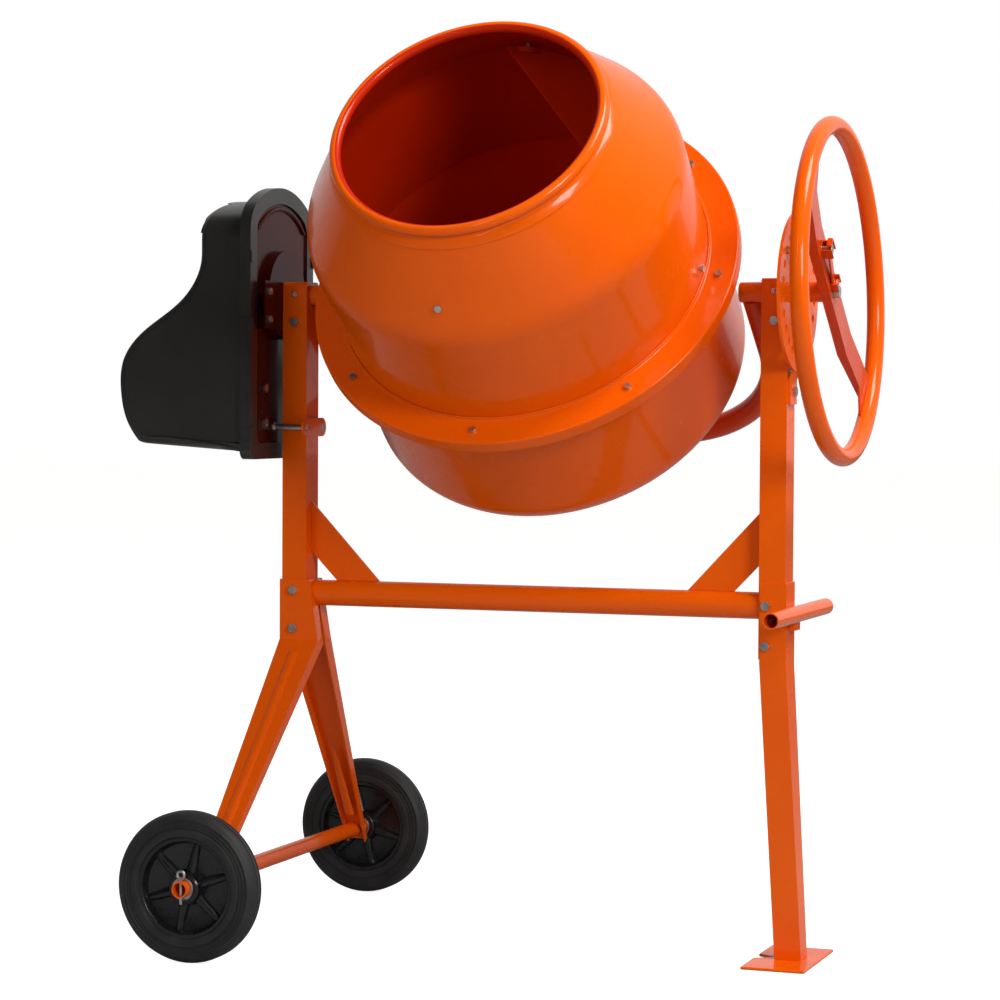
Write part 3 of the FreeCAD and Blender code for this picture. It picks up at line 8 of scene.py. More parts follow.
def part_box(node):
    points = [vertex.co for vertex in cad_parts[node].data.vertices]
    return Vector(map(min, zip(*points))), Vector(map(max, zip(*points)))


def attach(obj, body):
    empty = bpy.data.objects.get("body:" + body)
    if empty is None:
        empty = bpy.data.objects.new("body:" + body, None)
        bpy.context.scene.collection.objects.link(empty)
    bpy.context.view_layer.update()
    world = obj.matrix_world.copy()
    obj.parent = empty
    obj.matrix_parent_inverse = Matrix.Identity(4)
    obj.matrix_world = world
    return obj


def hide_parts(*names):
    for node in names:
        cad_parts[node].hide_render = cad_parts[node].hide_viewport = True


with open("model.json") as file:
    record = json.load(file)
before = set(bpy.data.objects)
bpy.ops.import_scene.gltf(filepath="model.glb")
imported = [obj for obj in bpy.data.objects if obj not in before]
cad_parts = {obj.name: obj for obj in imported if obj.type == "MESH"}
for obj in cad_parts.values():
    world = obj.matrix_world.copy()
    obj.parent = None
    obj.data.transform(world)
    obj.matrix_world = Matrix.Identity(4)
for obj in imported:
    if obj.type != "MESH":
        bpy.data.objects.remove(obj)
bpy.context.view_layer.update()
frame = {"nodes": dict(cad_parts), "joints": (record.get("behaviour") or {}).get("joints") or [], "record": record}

nodes = frame["nodes"]
joints = {joint["name"]: joint for joint in frame["joints"]}
tiltAt = Vector(joints["drum_tilt"]["pos_m"])
drumAxis = Vector(joints["drum_spin"]["axis"])
drumLean = math.atan2(-drumAxis.y, drumAxis.z)
drumPlace = Matrix.Translation(tiltAt) @ Matrix.Rotation(drumLean, 4, "X")
bodyOf = {}
for bodyName, members in frame["record"]["behaviour"]["bodies"].items():
    for member in members:
        bodyOf[member] = bodyName
slotOf = {part["node"]: part["material_slot"] for part in frame["record"]["subparts"]}


cameraSettings = {
    "place": (1.3877, -3.7992, 0.7463),
    "heading": 19.7,
    "pitch": -2.011,
    "roll": 0.326,
    "lens": 106.884,
    "sensor": 36.0,
    "farthest": 50.0,
}


def makeCamera(settings):
    data = bpy.data.cameras.new("camera")
    data.lens = settings["lens"]
    data.sensor_width = settings["sensor"]
    data.clip_end = settings["farthest"]
    camera = bpy.data.objects.new("camera", data)
    bpy.context.scene.collection.objects.link(camera)
    heading = Matrix.Rotation(math.radians(settings["heading"]), 4, "Z")
    pitch = Matrix.Rotation(math.radians(90 + settings["pitch"]), 4, "X")
    roll = Matrix.Rotation(math.radians(settings["roll"]), 4, "Z")
    camera.matrix_world = Matrix.Translation(settings["place"]) @ heading @ pitch @ roll
    bpy.context.scene.camera = camera


makeCamera(cameraSettings)
print("camera is set")


class Value:
    # wraps an output socket, so that sums and products of values add their Math nodes
    def __init__(self, paint, socket):
        self.paint = paint
        self.socket = socket

    def math(self, operation, first, second):
        return self.paint.node("ShaderNodeMath", {"operation": operation}, {0: first, 1: second})

    def __add__(self, other):
        return self.math("ADD", self, other)

    def __mul__(self, other):
        return self.math("MULTIPLY", self, other)


class Paint:
    # one material with its Principled shader
    def __init__(self, name, constants):
        self.material = bpy.data.materials.new(name)
        self.material.use_nodes = True
        self.tree = self.material.node_tree
        self.shader = self.tree.nodes["Principled BSDF"]
        for socketName, amount in constants.items():
            self.shader.inputs[socketName].default_value = amount
        self.place = self.node("ShaderNodeTexCoord", {}, {}, "Object")

    def node(self, kind, settings, inputs, output=0):
        made = self.tree.nodes.new(kind)
        for setting, choice in settings.items():
            setattr(made, setting, choice)
        for socketName, given in inputs.items():
            self.feed(made.inputs[socketName], given)
        return Value(self, made.outputs[output])

    def feed(self, socket, given):
        if isinstance(given, Value):
            self.tree.links.new(given.socket, socket)
        else:
            socket.default_value = given

    def to(self, socketName, given):
        self.feed(self.shader.inputs[socketName], given)

    def noise(self, scale, detail=2.0, roughness=0.5, stretch=(1, 1, 1)):
        mapped = self.node("ShaderNodeMapping", {}, {"Vector": self.place, "Scale": stretch})
        return self.node("ShaderNodeTexNoise", {}, {
            "Vector": mapped, "Scale": scale, "Detail": detail, "Roughness": roughness})

    def spread(self, value, low, high, fromLow=0.3, fromHigh=0.7):
        return self.node("ShaderNodeMapRange", {}, {
            "Value": value, "From Min": fromLow, "From Max": fromHigh, "To Min": low, "To Max": high})

    def blend(self, share, first, second):
        return self.node("ShaderNodeMix", {"data_type": "RGBA"}, {0: share, 6: first, 7: second}, 2)

    def bump(self, height, strength, distance):
        return self.node("ShaderNodeBump", {}, {
            "Height": height, "Strength": strength, "Distance": distance}, "Normal")


def shade(red, green, blue):
    # from the colour as seen on a screen to the linear values that shaders use
    return tuple((part / 255) ** 2.2 for part in (red, green, blue)) + (1.0,)


finishes = {}

orangeSettings = {
    "body": (0.82, 0.104, 0.0008, 1),
    "warm": (0.86, 0.120, 0.0010, 1),
    "deep": (0.76, 0.086, 0.0006, 1),
    "roughness": (0.2, 0.3),
    "dust": shade(196, 128, 88),
}


# painted shade for the drum's inside: the same orange paint made darker and redder, where little light reaches
insideShadeSettings = {
    "body": (0.52, 0.017, 0.0006, 1),
    "warm": (0.58, 0.022, 0.0008, 1),
    "deep": (0.46, 0.012, 0.0004, 1),
    "roughness": (0.3, 0.42),
    "dust": shade(150, 60, 30),
}


# painted shade: a darker, redder orange for the yoke, the hand wheel spoke and the latch parts, standing in for
# the shadow they sit in
shadedSettings = {
    "body": (0.60, 0.045, 0.0008, 1),
    "warm": (0.66, 0.058, 0.0010, 1),
    "deep": (0.54, 0.036, 0.0006, 1),
    "roughness": (0.24, 0.36),
    "dust": shade(170, 90, 50),
}


# painted shade for the bowl's inside: the outside orange made redder, for the light that reaches it only by
# bouncing inside the drum
bowlShadeSettings = {
    "body": (0.78, 0.032, 0.0008, 1),
    "warm": (0.82, 0.038, 0.0010, 1),
    "deep": (0.72, 0.026, 0.0006, 1),
    "roughness": (0.3, 0.42),
    "dust": shade(170, 70, 34),
}


paintTexture = {
    "specular": 0.12, "coat": 0.3, "coatRoughness": 0.03, "index": 1.45,
    "cloud": 5.0, "bodyShare": 0.5, "sheen": 24.0,
    "scuff": 42.0, "scuffMost": 0.12, "scuffFrom": 0.68, "scuffTo": 0.88, "scuffRoughness": 0.3,
    "peel": 260.0, "wave": 70.0, "waveShare": 1.5, "bump": 0.35, "depth": 0.00012,
}


def makeOrangePaint(name, settings, texture):
    paint = Paint(name, {
        "Specular IOR Level": texture["specular"], "Coat Weight": texture["coat"],
        "Coat Roughness": texture["coatRoughness"], "IOR": texture["index"]})
    cloud = paint.noise(texture["cloud"], 3.0)
    fine = paint.noise(texture["peel"], 2.0)
    tone = paint.blend(paint.spread(cloud, 0.0, 1.0), settings["deep"], settings["warm"])
    tone = paint.blend(texture["bodyShare"], settings["body"], tone)
    grain = paint.noise(texture["scuff"], 6.0, 0.75)
    scuffs = paint.spread(grain, 0.0, texture["scuffMost"], texture["scuffFrom"], texture["scuffTo"])
    tone = paint.blend(scuffs, tone, settings["dust"])
    paint.to("Base Color", tone)
    low, high = settings["roughness"]
    sheen = paint.spread(paint.noise(texture["sheen"], 4.0), low, high)
    paint.to("Roughness", sheen + scuffs * texture["scuffRoughness"])
    waves = paint.noise(texture["wave"], 1.0)
    paint.to("Normal", paint.bump(fine + waves * texture["waveShare"], texture["bump"], texture["depth"]))
    return paint.material


zincSettings = {
    "light": (0.72, 0.70, 0.66, 1), "dark": (0.42, 0.41, 0.39, 1), "roughness": (0.2, 0.38),
    "grain": 180.0, "grainShare": 0.15, "cloud": 60.0, "pits": 500.0, "bump": 0.15, "depth": 0.0002,
}


def makeZinc(settings):
    paint = Paint("zincPlate", {"Metallic": 1.0})
    spangle = paint.node("ShaderNodeTexVoronoi", {}, {"Vector": paint.place, "Scale": settings["grain"]})
    cloud = paint.noise(settings["cloud"], 4.0)
    paint.to("Base Color", paint.blend(paint.spread(cloud, 0.0, 1.0), settings["dark"], settings["light"]))
    low, high = settings["roughness"]
    paint.to("Roughness", paint.spread(cloud, low, high) + spangle * settings["grainShare"])
    paint.to("Normal", paint.bump(paint.noise(settings["pits"], 2.0), settings["bump"], settings["depth"]))
    return paint.material


coverSettings = {
    "body": shade(38, 36, 35), "rubbed": shade(48, 46, 45), "roughness": (0.28, 0.38),
    "specular": 0.6, "cloud": 9.0, "grain": 900.0, "bump": 0.3, "depth": 0.0003,
}


def makeCoverPlastic(settings):
    paint = Paint("coverPlastic", {"Specular IOR Level": settings["specular"]})
    cloud = paint.noise(settings["cloud"], 4.0)
    paint.to("Base Color", paint.blend(paint.spread(cloud, 0.0, 0.6), settings["body"], settings["rubbed"]))
    low, high = settings["roughness"]
    paint.to("Roughness", paint.spread(cloud, low, high))
    paint.to("Normal", paint.bump(paint.noise(settings["grain"], 3.0), settings["bump"], settings["depth"]))
    return paint.material


# near-black plate paint tinted red-brown: the tint is a painted reflection of the orange frame in the glossy plate
plateSettings = {
    "body": shade(60, 18, 11), "haze": shade(72, 22, 14), "roughness": (0.16, 0.28),
    "specular": 0.1, "coat": 0.04, "coatRoughness": 0.05,
    "cloud": 14.0, "grain": 120.0, "bump": 0.2, "depth": 0.0002,
}


def makePlatePaint(settings):
    paint = Paint("platePaint", {
        "Specular IOR Level": settings["specular"], "Coat Weight": settings["coat"],
        "Coat Roughness": settings["coatRoughness"]})
    cloud = paint.noise(settings["cloud"], 4.0)
    paint.to("Base Color", paint.blend(paint.spread(cloud, 0.0, 0.7), settings["body"], settings["haze"]))
    low, high = settings["roughness"]
    paint.to("Roughness", paint.spread(cloud, low, high))
    paint.to("Normal", paint.bump(paint.noise(settings["grain"], 2.0), settings["bump"], settings["depth"]))
    return paint.material


rubberSettings = {
    "body": shade(36, 36, 37), "dusty": shade(52, 51, 50), "roughness": (0.5, 0.66),
    "specular": 0.4, "cloud": 30.0, "grain": 600.0, "bump": 0.3, "depth": 0.0003,
}


def makeRubber(settings):
    paint = Paint("tyreRubber", {"Specular IOR Level": settings["specular"]})
    cloud = paint.noise(settings["cloud"], 5.0, 0.6)
    paint.to("Base Color", paint.blend(paint.spread(cloud, 0.0, 0.7), settings["body"], settings["dusty"]))
    low, high = settings["roughness"]
    paint.to("Roughness", paint.spread(cloud, low, high))
    paint.to("Normal", paint.bump(paint.noise(settings["grain"], 3.0), settings["bump"], settings["depth"]))
    return paint.material


plainSettings = {
    "rimPlastic": {
        "light": shade(34, 34, 35), "dark": shade(22, 22, 23),
        "roughness": (0.22, 0.34), "metallic": 0.0,
    },
    "castIron": {
        "light": (0.16, 0.15, 0.14, 1), "dark": (0.07, 0.07, 0.07, 1),
        "roughness": (0.45, 0.65), "metallic": 0.9,
    },
    "aluminiumCast": {
        "light": (0.62, 0.62, 0.63, 1), "dark": (0.42, 0.42, 0.43, 1),
        "roughness": (0.35, 0.5), "metallic": 1.0,
    },
    "beltRubber": {
        "light": shade(40, 40, 40), "dark": shade(26, 26, 26),
        "roughness": (0.55, 0.7), "metallic": 0.0,
    },
    "springWire": {
        "light": (0.6, 0.6, 0.6, 1), "dark": (0.35, 0.35, 0.36, 1),
        "roughness": (0.2, 0.35), "metallic": 1.0,
    },
    "bronze": {
        "light": (0.55, 0.38, 0.16, 1), "dark": (0.36, 0.24, 0.1, 1),
        "roughness": (0.3, 0.45), "metallic": 1.0,
    },
    "greenPlastic": {
        "light": shade(30, 150, 60), "dark": shade(20, 120, 46),
        "roughness": (0.2, 0.3), "metallic": 0.0,
    },
    "redPlastic": {
        "light": shade(190, 24, 20), "dark": shade(150, 14, 12),
        "roughness": (0.2, 0.3), "metallic": 0.0,
    },
}


plainTexture = {"cloud": 55.0, "grain": 420.0, "bump": 0.25, "depth": 0.0003}


def makePlain(name, settings, texture):
    paint = Paint(name, {})
    cloud = paint.noise(texture["cloud"], 5.0, 0.6)
    paint.to("Base Color", paint.blend(paint.spread(cloud, 0.0, 1.0), settings["dark"], settings["light"]))
    low, high = settings["roughness"]
    paint.to("Roughness", paint.spread(cloud, low, high))
    paint.shader.inputs["Metallic"].default_value = settings["metallic"]
    paint.to("Normal", paint.bump(paint.noise(texture["grain"], 3.0), texture["bump"], texture["depth"]))
    return paint.material


finishes["orange_paint"] = makeOrangePaint("orangePaint", orangeSettings, paintTexture)
finishes["painted_shade_orange"] = makeOrangePaint("paintedShadeOrange", shadedSettings, paintTexture)
finishes["inside_painted_shade"] = makeOrangePaint("insidePaintedShade", insideShadeSettings, paintTexture)
finishes["bowl_inside_painted_shade"] = makeOrangePaint("bowlInsidePaintedShade", bowlShadeSettings, paintTexture)
finishes["galvanised_steel"] = makeZinc(zincSettings)
finishes["black_plastic"] = makeCoverPlastic(coverSettings)
finishes["black_plate"] = makePlatePaint(plateSettings)
finishes["rubber"] = makeRubber(rubberSettings)
plainSlots = {
    "rim_plastic": "rimPlastic", "cast_metal": "castIron", "aluminium": "aluminiumCast",
    "belt_rubber": "beltRubber", "spring_steel": "springWire", "bronze": "bronze",
    "green_plastic": "greenPlastic", "red_plastic": "redPlastic",
}
for slotName, given in plainSlots.items():
    finishes[slotName] = makePlain(given, plainSettings[given], plainTexture)
finishes["contact_brass"] = finishes["bronze"]
print("finishes are made")


def only(piece):
    if bpy.context.mode != "OBJECT":
        bpy.ops.object.mode_set(mode="OBJECT")
    bpy.ops.object.select_all(action="DESELECT")
    piece.select_set(True)
    bpy.context.view_layer.objects.active = piece


def applyModifier(piece, kind, **settings):
    only(piece)
    modifier = piece.modifiers.new(kind.lower(), kind)
    for setting, choice in settings.items():
        setattr(modifier, setting, choice)
    bpy.ops.object.modifier_apply(modifier=modifier.name)


def dress(piece, finish):
    piece.data.materials.clear()
    piece.data.materials.append(finishes[finish])


def smooth(piece, degrees):
    only(piece)
    bpy.ops.object.shade_smooth_by_angle(angle=math.radians(degrees))


def standIn(piece, *replaced):
    # the finished piece rides with the nodes that it replaces
    piece.name = replaced[0] + "_skin"
    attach(piece, bodyOf[replaced[0]])
    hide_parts(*replaced)


softTools = {"weld": 0.00001, "flat": 0.5, "edge": 35, "smooth": 40}


def softened(node, width, segments, finish=None):
    # a copy of a CAD node with its edges rounded
    piece = nodes[node].copy()
    piece.data = nodes[node].data.copy()
    bpy.context.scene.collection.objects.link(piece)
    piece.parent = None
    for key in list(piece.keys()):
        del piece[key]
    only(piece)
    bpy.ops.object.mode_set(mode="EDIT")
    bpy.ops.mesh.select_all(action="SELECT")
    bpy.ops.mesh.remove_doubles(threshold=softTools["weld"])
    bpy.ops.mesh.dissolve_limited(angle_limit=math.radians(softTools["flat"]))
    bpy.ops.object.mode_set(mode="OBJECT")
    if width:
        applyModifier(piece, "BEVEL", width=width, segments=segments, limit_method="ANGLE",
                      angle_limit=math.radians(softTools["edge"]), miter_outer="MITER_ARC")
    smooth(piece, softTools["smooth"])
    applyModifier(piece, "WEIGHTED_NORMAL", keep_sharp=True)
    dress(piece, finish or slotOf[node])
    standIn(piece, node)
    return piece


spinTools = {"start": 0.01, "weld": 0.00002}


def spunPiece(outline, steps, place):
    # turns a closed outline of (radius, height) points round the Z axis, then puts it in its place
    bpy.ops.object.select_all(action="DESELECT")
    bpy.ops.mesh.primitive_plane_add(size=spinTools["start"], location=(0, 0, 0))
    piece = bpy.context.object
    bpy.ops.object.mode_set(mode="EDIT")
    bpy.ops.mesh.select_all(action="SELECT")
    bpy.ops.mesh.merge(type="CENTER")
    at = Vector((outline[0][0], 0, outline[0][1]))
    bpy.ops.transform.translate(value=at)
    for radius, height in outline[1:] + outline[:1]:
        step = Vector((radius, 0, height)) - at
        bpy.ops.mesh.extrude_region_move(TRANSFORM_OT_translate={"value": step})
        at = at + step
    bpy.ops.mesh.select_all(action="SELECT")
    bpy.ops.mesh.remove_doubles(threshold=spinTools["weld"])
    bpy.ops.mesh.select_all(action="SELECT")
    bpy.ops.mesh.spin(steps=steps, angle=2 * math.pi, center=(0, 0, 0), axis=(0, 0, 1))
    bpy.ops.mesh.select_all(action="SELECT")
    bpy.ops.mesh.remove_doubles(threshold=spinTools["weld"])
    bpy.ops.mesh.normals_make_consistent(inside=False)
    bpy.ops.object.mode_set(mode="OBJECT")
    piece.matrix_world = place
    bpy.ops.object.transform_apply(location=True, rotation=True, scale=True)
    return piece


def arcPoints(centre, radius, fromDegrees, toDegrees, count):
    # points along an arc, in the outline's plane
    points = []
    for step in range(count + 1):
        turn = math.radians(fromDegrees + (toDegrees - fromDegrees) * step / count)
        points.append((centre[0] + radius * math.cos(turn), centre[1] + radius * math.sin(turn)))
    return points


def joined(pieces):
    only(pieces[0])
    for piece in pieces[1:]:
        piece.select_set(True)
    bpy.ops.object.join()
    return bpy.context.object


print("tools are ready")


insideShadeLimits = {"clear": 0.001, "inwards": -0.15, "upwards": 0.5}


def paintShadeInside(piece, finish, floorLevel):
    # the faces that look at the drum's axis, and those on its floor, get the darker painted shade of the drum's
    # inside
    piece.data.materials.append(finishes[finish])
    home = drumPlace.inverted()
    for face in piece.data.polygons:
        middle = home @ face.center
        looking = home.to_3x3() @ face.normal
        outward = Vector((middle.x, middle.y, 0))
        offAxis = outward.length > insideShadeLimits["clear"]
        inwards = offAxis and looking.dot(outward.normalized()) < insideShadeLimits["inwards"]
        onFloor = middle.z < floorLevel and looking.z > insideShadeLimits["upwards"]
        if inwards or onFloor:
            face.material_index = 1


drumSettings = {
    "mouthLevel": 0.3285, "mouthRadius": 0.1775, "beadRadius": 0.0075,
    "collarLow": 0.3085, "collarHigh": 0.3195, "collarRise": 0.0014,
    "shoulderLevel": 0.212, "shoulderRadius": 0.256, "shoulderRound": 0.060,
    "neckRadius": 0.253, "flangeLow": 0.0430, "flangeHigh": 0.0455, "flangeRadius": 0.287,
    "sheet": 0.0025, "fillet": 0.004, "collarRun": 0.001, "collarEdge": 0.0012,
    "shadeFloorLevel": -1.0, "steps": 144, "smooth": 32,
}


def makeUpperDrum(settings):
    # flange, straight neck, soft shoulder, cone and rolled mouth, then back down the inside
    mouth = settings["mouthRadius"]
    level = settings["mouthLevel"]
    wide = settings["shoulderRadius"]
    high = settings["shoulderLevel"]
    slope = (wide - mouth) / (level - high)
    lean = math.atan(slope)
    sheet = settings["sheet"]

    def coneRadius(at, inset=0.0):
        return mouth + (level - at) * slope - inset / math.cos(lean)

    def shoulder(inset):
        curve = settings["shoulderRound"] - inset
        bend = settings["shoulderRound"] * math.tan(lean / 2)
        centre = (wide - settings["shoulderRound"], high - bend)
        return arcPoints(centre, curve, 0, math.degrees(lean), 10)

    neck = settings["neckRadius"]
    low = settings["flangeLow"]
    top = settings["flangeHigh"]
    rise = settings["collarRise"]
    start = settings["collarLow"]
    stop = settings["collarHigh"]
    run = settings["collarRun"]
    edge = settings["collarEdge"]
    points = [(settings["flangeRadius"], low), (settings["flangeRadius"], top)]
    fillet = settings["fillet"]
    points += arcPoints((neck + fillet, top + fillet), fillet, 270, 180, 4)
    points += shoulder(0.0)
    points += [
        (coneRadius(start), start),
        (coneRadius(start + run) + rise, start + edge),
        (coneRadius(stop - run) + rise, stop - edge),
        (coneRadius(stop), stop),
    ]
    points += arcPoints((mouth, level), settings["beadRadius"], -52, 232, 18)
    points += [(coneRadius(stop, sheet), stop)]
    points += list(reversed(shoulder(sheet)))
    points += [(neck - sheet, top), (neck - sheet, low)]
    piece = spunPiece(points, settings["steps"], drumPlace)
    smooth(piece, settings["smooth"])
    dress(piece, "orange_paint")
    paintShadeInside(piece, "inside_painted_shade", settings["shadeFloorLevel"])
    standIn(piece, "upper_drum")


bowlSettings = {
    "topRadius": 0.262, "radius": 0.265, "bottom": -0.181, "round": 0.046, "sheet": 0.0025,
    "flangeLow": 0.0405, "flangeHigh": 0.0430, "flangeRadius": 0.290, "fillet": 0.004,
    "shadeFloorDepth": 0.01, "steps": 144, "smooth": 32,
}


def makeBowl(settings):
    sheet = settings["sheet"]
    radius = settings["radius"]
    bottom = settings["bottom"]
    curve = settings["round"]
    low = settings["flangeLow"]
    top = settings["topRadius"]
    centre = (radius - curve, bottom + curve)
    points = [(0.0, bottom + sheet), (0.0, bottom)]
    points += arcPoints(centre, curve, 270, 360, 14)
    fillet = settings["fillet"]
    points += arcPoints((top + fillet, low - fillet), fillet, 180, 90, 4)
    points += [(settings["flangeRadius"], low), (settings["flangeRadius"], settings["flangeHigh"])]
    points += [(top - sheet, settings["flangeHigh"])]
    points += arcPoints(centre, curve - sheet, 360, 270, 14)
    piece = spunPiece(points, settings["steps"], drumPlace)
    smooth(piece, settings["smooth"])
    dress(piece, "orange_paint")
    paintShadeInside(piece, "bowl_inside_painted_shade", bottom + settings["shadeFloorDepth"])
    standIn(piece, "drum_bowl")


ringSettings = {
    "inner": 0.2533,
    "outer": 0.295,
    "low": 0.0455,
    "high": 0.048,
    "lip": 0.014,
    "roll": 0.0028,
    "upstand": 0.0035,
    "edge": 0.0008,
    "edgeRound": 0.0012,
    "foot": 0.003,
    "footAt": 0.0054,
    "rollRise": 0.0012,
    "steps": 144,
    "smooth": 32,
}


def makeGuardRing(settings):
    # a flat ring with its inner edge turned up and its outer edge rolled over and turned down
    inner = settings["inner"]
    outer = settings["outer"]
    low = settings["low"]
    high = settings["high"]
    wall = high - low
    roll = settings["roll"]
    top = high + settings["upstand"]
    edge = settings["edge"]
    foot = settings["foot"]
    points = [(inner, low), (inner, top - edge)]
    points += arcPoints((inner + settings["edgeRound"], top - edge), settings["edgeRound"], 180, 0, 6)
    points += arcPoints((inner + settings["footAt"], high + foot), foot, 180, 270, 6)
    points += arcPoints((outer - roll, high - roll + settings["rollRise"]), roll, 110, 0, 9)
    points += [(outer, low - settings["lip"]), (outer - wall, low - settings["lip"]), (outer - wall, low)]
    piece = spunPiece(points, settings["steps"], drumPlace)
    smooth(piece, settings["smooth"])
    dress(piece, "orange_paint")
    standIn(piece, "guard_ring")


makeUpperDrum(drumSettings)
makeBowl(bowlSettings)
makeGuardRing(ringSettings)
print("drum is made")


tyreSettings = {
    "seat": 0.066, "tread": 0.100, "half": 0.0195, "ringAt": (0.0805, 0.0855, 0.0905), "ringRise": 0.0011,
    "ringHalf": 0.0012, "ringCrown": 0.0006, "ringShoulder": 0.8,
    "groove": 0.0014, "grooveAt": (-0.0045, 0.0045), "grooveHalf": 0.0012, "grooveFloor": 0.0008,
    "wallDepth": 0.002, "beadWidth": 0.0125,
    "bead": ((0.0, 0.004), (0.002, 0.0006), (0.004, 0.0), (0.0095, 0.0), (0.0115, 0.0006)),
    "shoulder": ((0.0938, 0.0012), (0.0962, 0.0036), (0.0982, 0.0066), (0.0994, 0.0098)),
    "shoulderDepth": 0.0112,
    "steps": 96, "smooth": 34,
}


def makeTyre(settings, node, wheelPlace):
    # rim bead, sidewall with raised rings, rounded shoulder and a grooved tread
    half = settings["half"]
    seat = settings["seat"]
    tread = settings["tread"]
    wall = half - settings["wallDepth"]
    side = [(seat + out, half - drop) for out, drop in settings["bead"]]
    side += [(seat + settings["beadWidth"], wall)]
    reach = settings["ringHalf"]
    crown = settings["ringCrown"]
    rise = settings["ringRise"]
    shoulder = wall + rise * settings["ringShoulder"]
    for at in settings["ringAt"]:
        side += [(at - reach, wall), (at - crown, shoulder), (at, wall + rise)]
        side += [(at + crown, shoulder), (at + reach, wall)]
    side += [(radius, wall - drop) for radius, drop in settings["shoulder"]]
    side += [(tread, wall - settings["shoulderDepth"])]
    across = []
    deep = tread - settings["groove"]
    for at in sorted(settings["grooveAt"], reverse=True):
        across += [(tread, at + settings["grooveHalf"]), (deep, at + settings["grooveFloor"])]
        across += [(deep, at - settings["grooveFloor"]), (tread, at - settings["grooveHalf"])]
    other = [(radius, -height) for radius, height in reversed(side)]
    piece = spunPiece(side + across + other, settings["steps"], wheelPlace)
    smooth(piece, settings["smooth"])
    dress(piece, "rubber")
    standIn(piece, node)


rimSettings = {
    "seat": 0.066, "barrel": 0.0155, "half": 0.0195, "hub": 0.021, "web": 0.0035, "bore": 0.0112,
    "hubEdge": 0.0015, "hubFoot": ((0.0008, 0.004), (0.0035, 0.0)),
    "barrelFoot": ((0.0125, 0.0), (0.0085, 0.0012), (0.0062, 0.005)),
    "barrelEdge": ((0.0050, 0.001), (0.0040, 0.0), (0.0, 0.0)),
    "ribs": 6, "ribLarge": 0.0078, "ribSmall": 0.0050, "ribShort": 0.006, "ribStart": 0.001, "ribSink": 0.0005,
    "ribSides": 24, "turns": {"front": 0.3, "rear": 0.75}, "steps": 96, "smooth": 34,
}


def makeRim(settings, node, wheelPlace, turn):
    # a dished disc with a barrel at its edge, a raised hub and tapered ribs between them
    seat = settings["seat"]
    barrel = settings["barrel"]
    hub = settings["hub"]
    web = settings["web"]
    half = settings["half"]
    edge = settings["hubEdge"]
    face = [(settings["bore"], half), (hub - edge, half), (hub, half - edge)]
    face += [(hub + out, web + rise) for out, rise in settings["hubFoot"]]
    face += [(seat - inset, web + rise) for inset, rise in settings["barrelFoot"]]
    face += [(seat - inset, barrel - drop) for inset, drop in settings["barrelEdge"]]
    back = [(radius, -height) for radius, height in reversed(face)]
    piece = spunPiece(face + back, settings["steps"], Matrix.Identity(4))
    parts = [piece]
    reach = seat - settings["ribShort"] - hub
    for side in (-1, 1):
        for step in range(settings["ribs"]):
            angle = turn + 2 * math.pi * step / settings["ribs"]
            middle = hub - settings["ribStart"] + reach / 2
            bpy.ops.object.select_all(action="DESELECT")
            level = side * (web - settings["ribSink"])
            bpy.ops.mesh.primitive_cone_add(
                vertices=settings["ribSides"], radius1=settings["ribLarge"], radius2=settings["ribSmall"],
                depth=reach, end_fill_type="NOTHING",
                location=(middle * math.cos(angle), middle * math.sin(angle), level),
                rotation=(0, math.radians(90), angle))
            parts.append(bpy.context.object)
    piece = joined(parts)
    only(piece)
    bpy.ops.object.transform_apply(location=True, rotation=True, scale=True)
    piece.matrix_world = wheelPlace
    bpy.ops.object.transform_apply(location=True, rotation=True, scale=True)
    smooth(piece, settings["smooth"])
    dress(piece, "rim_plastic")
    standIn(piece, node)


for side, turn in rimSettings["turns"].items():
    wheelAt = Vector(joints[side + "_wheel_spin"]["pos_m"])
    wheelPlace = Matrix.Translation(wheelAt) @ Matrix.Rotation(math.radians(90), 4, "X")
    makeTyre(tyreSettings, side + "_tyre", wheelPlace)
    makeRim(rimSettings, side + "_rim", wheelPlace, turn)
print("wheels are made")


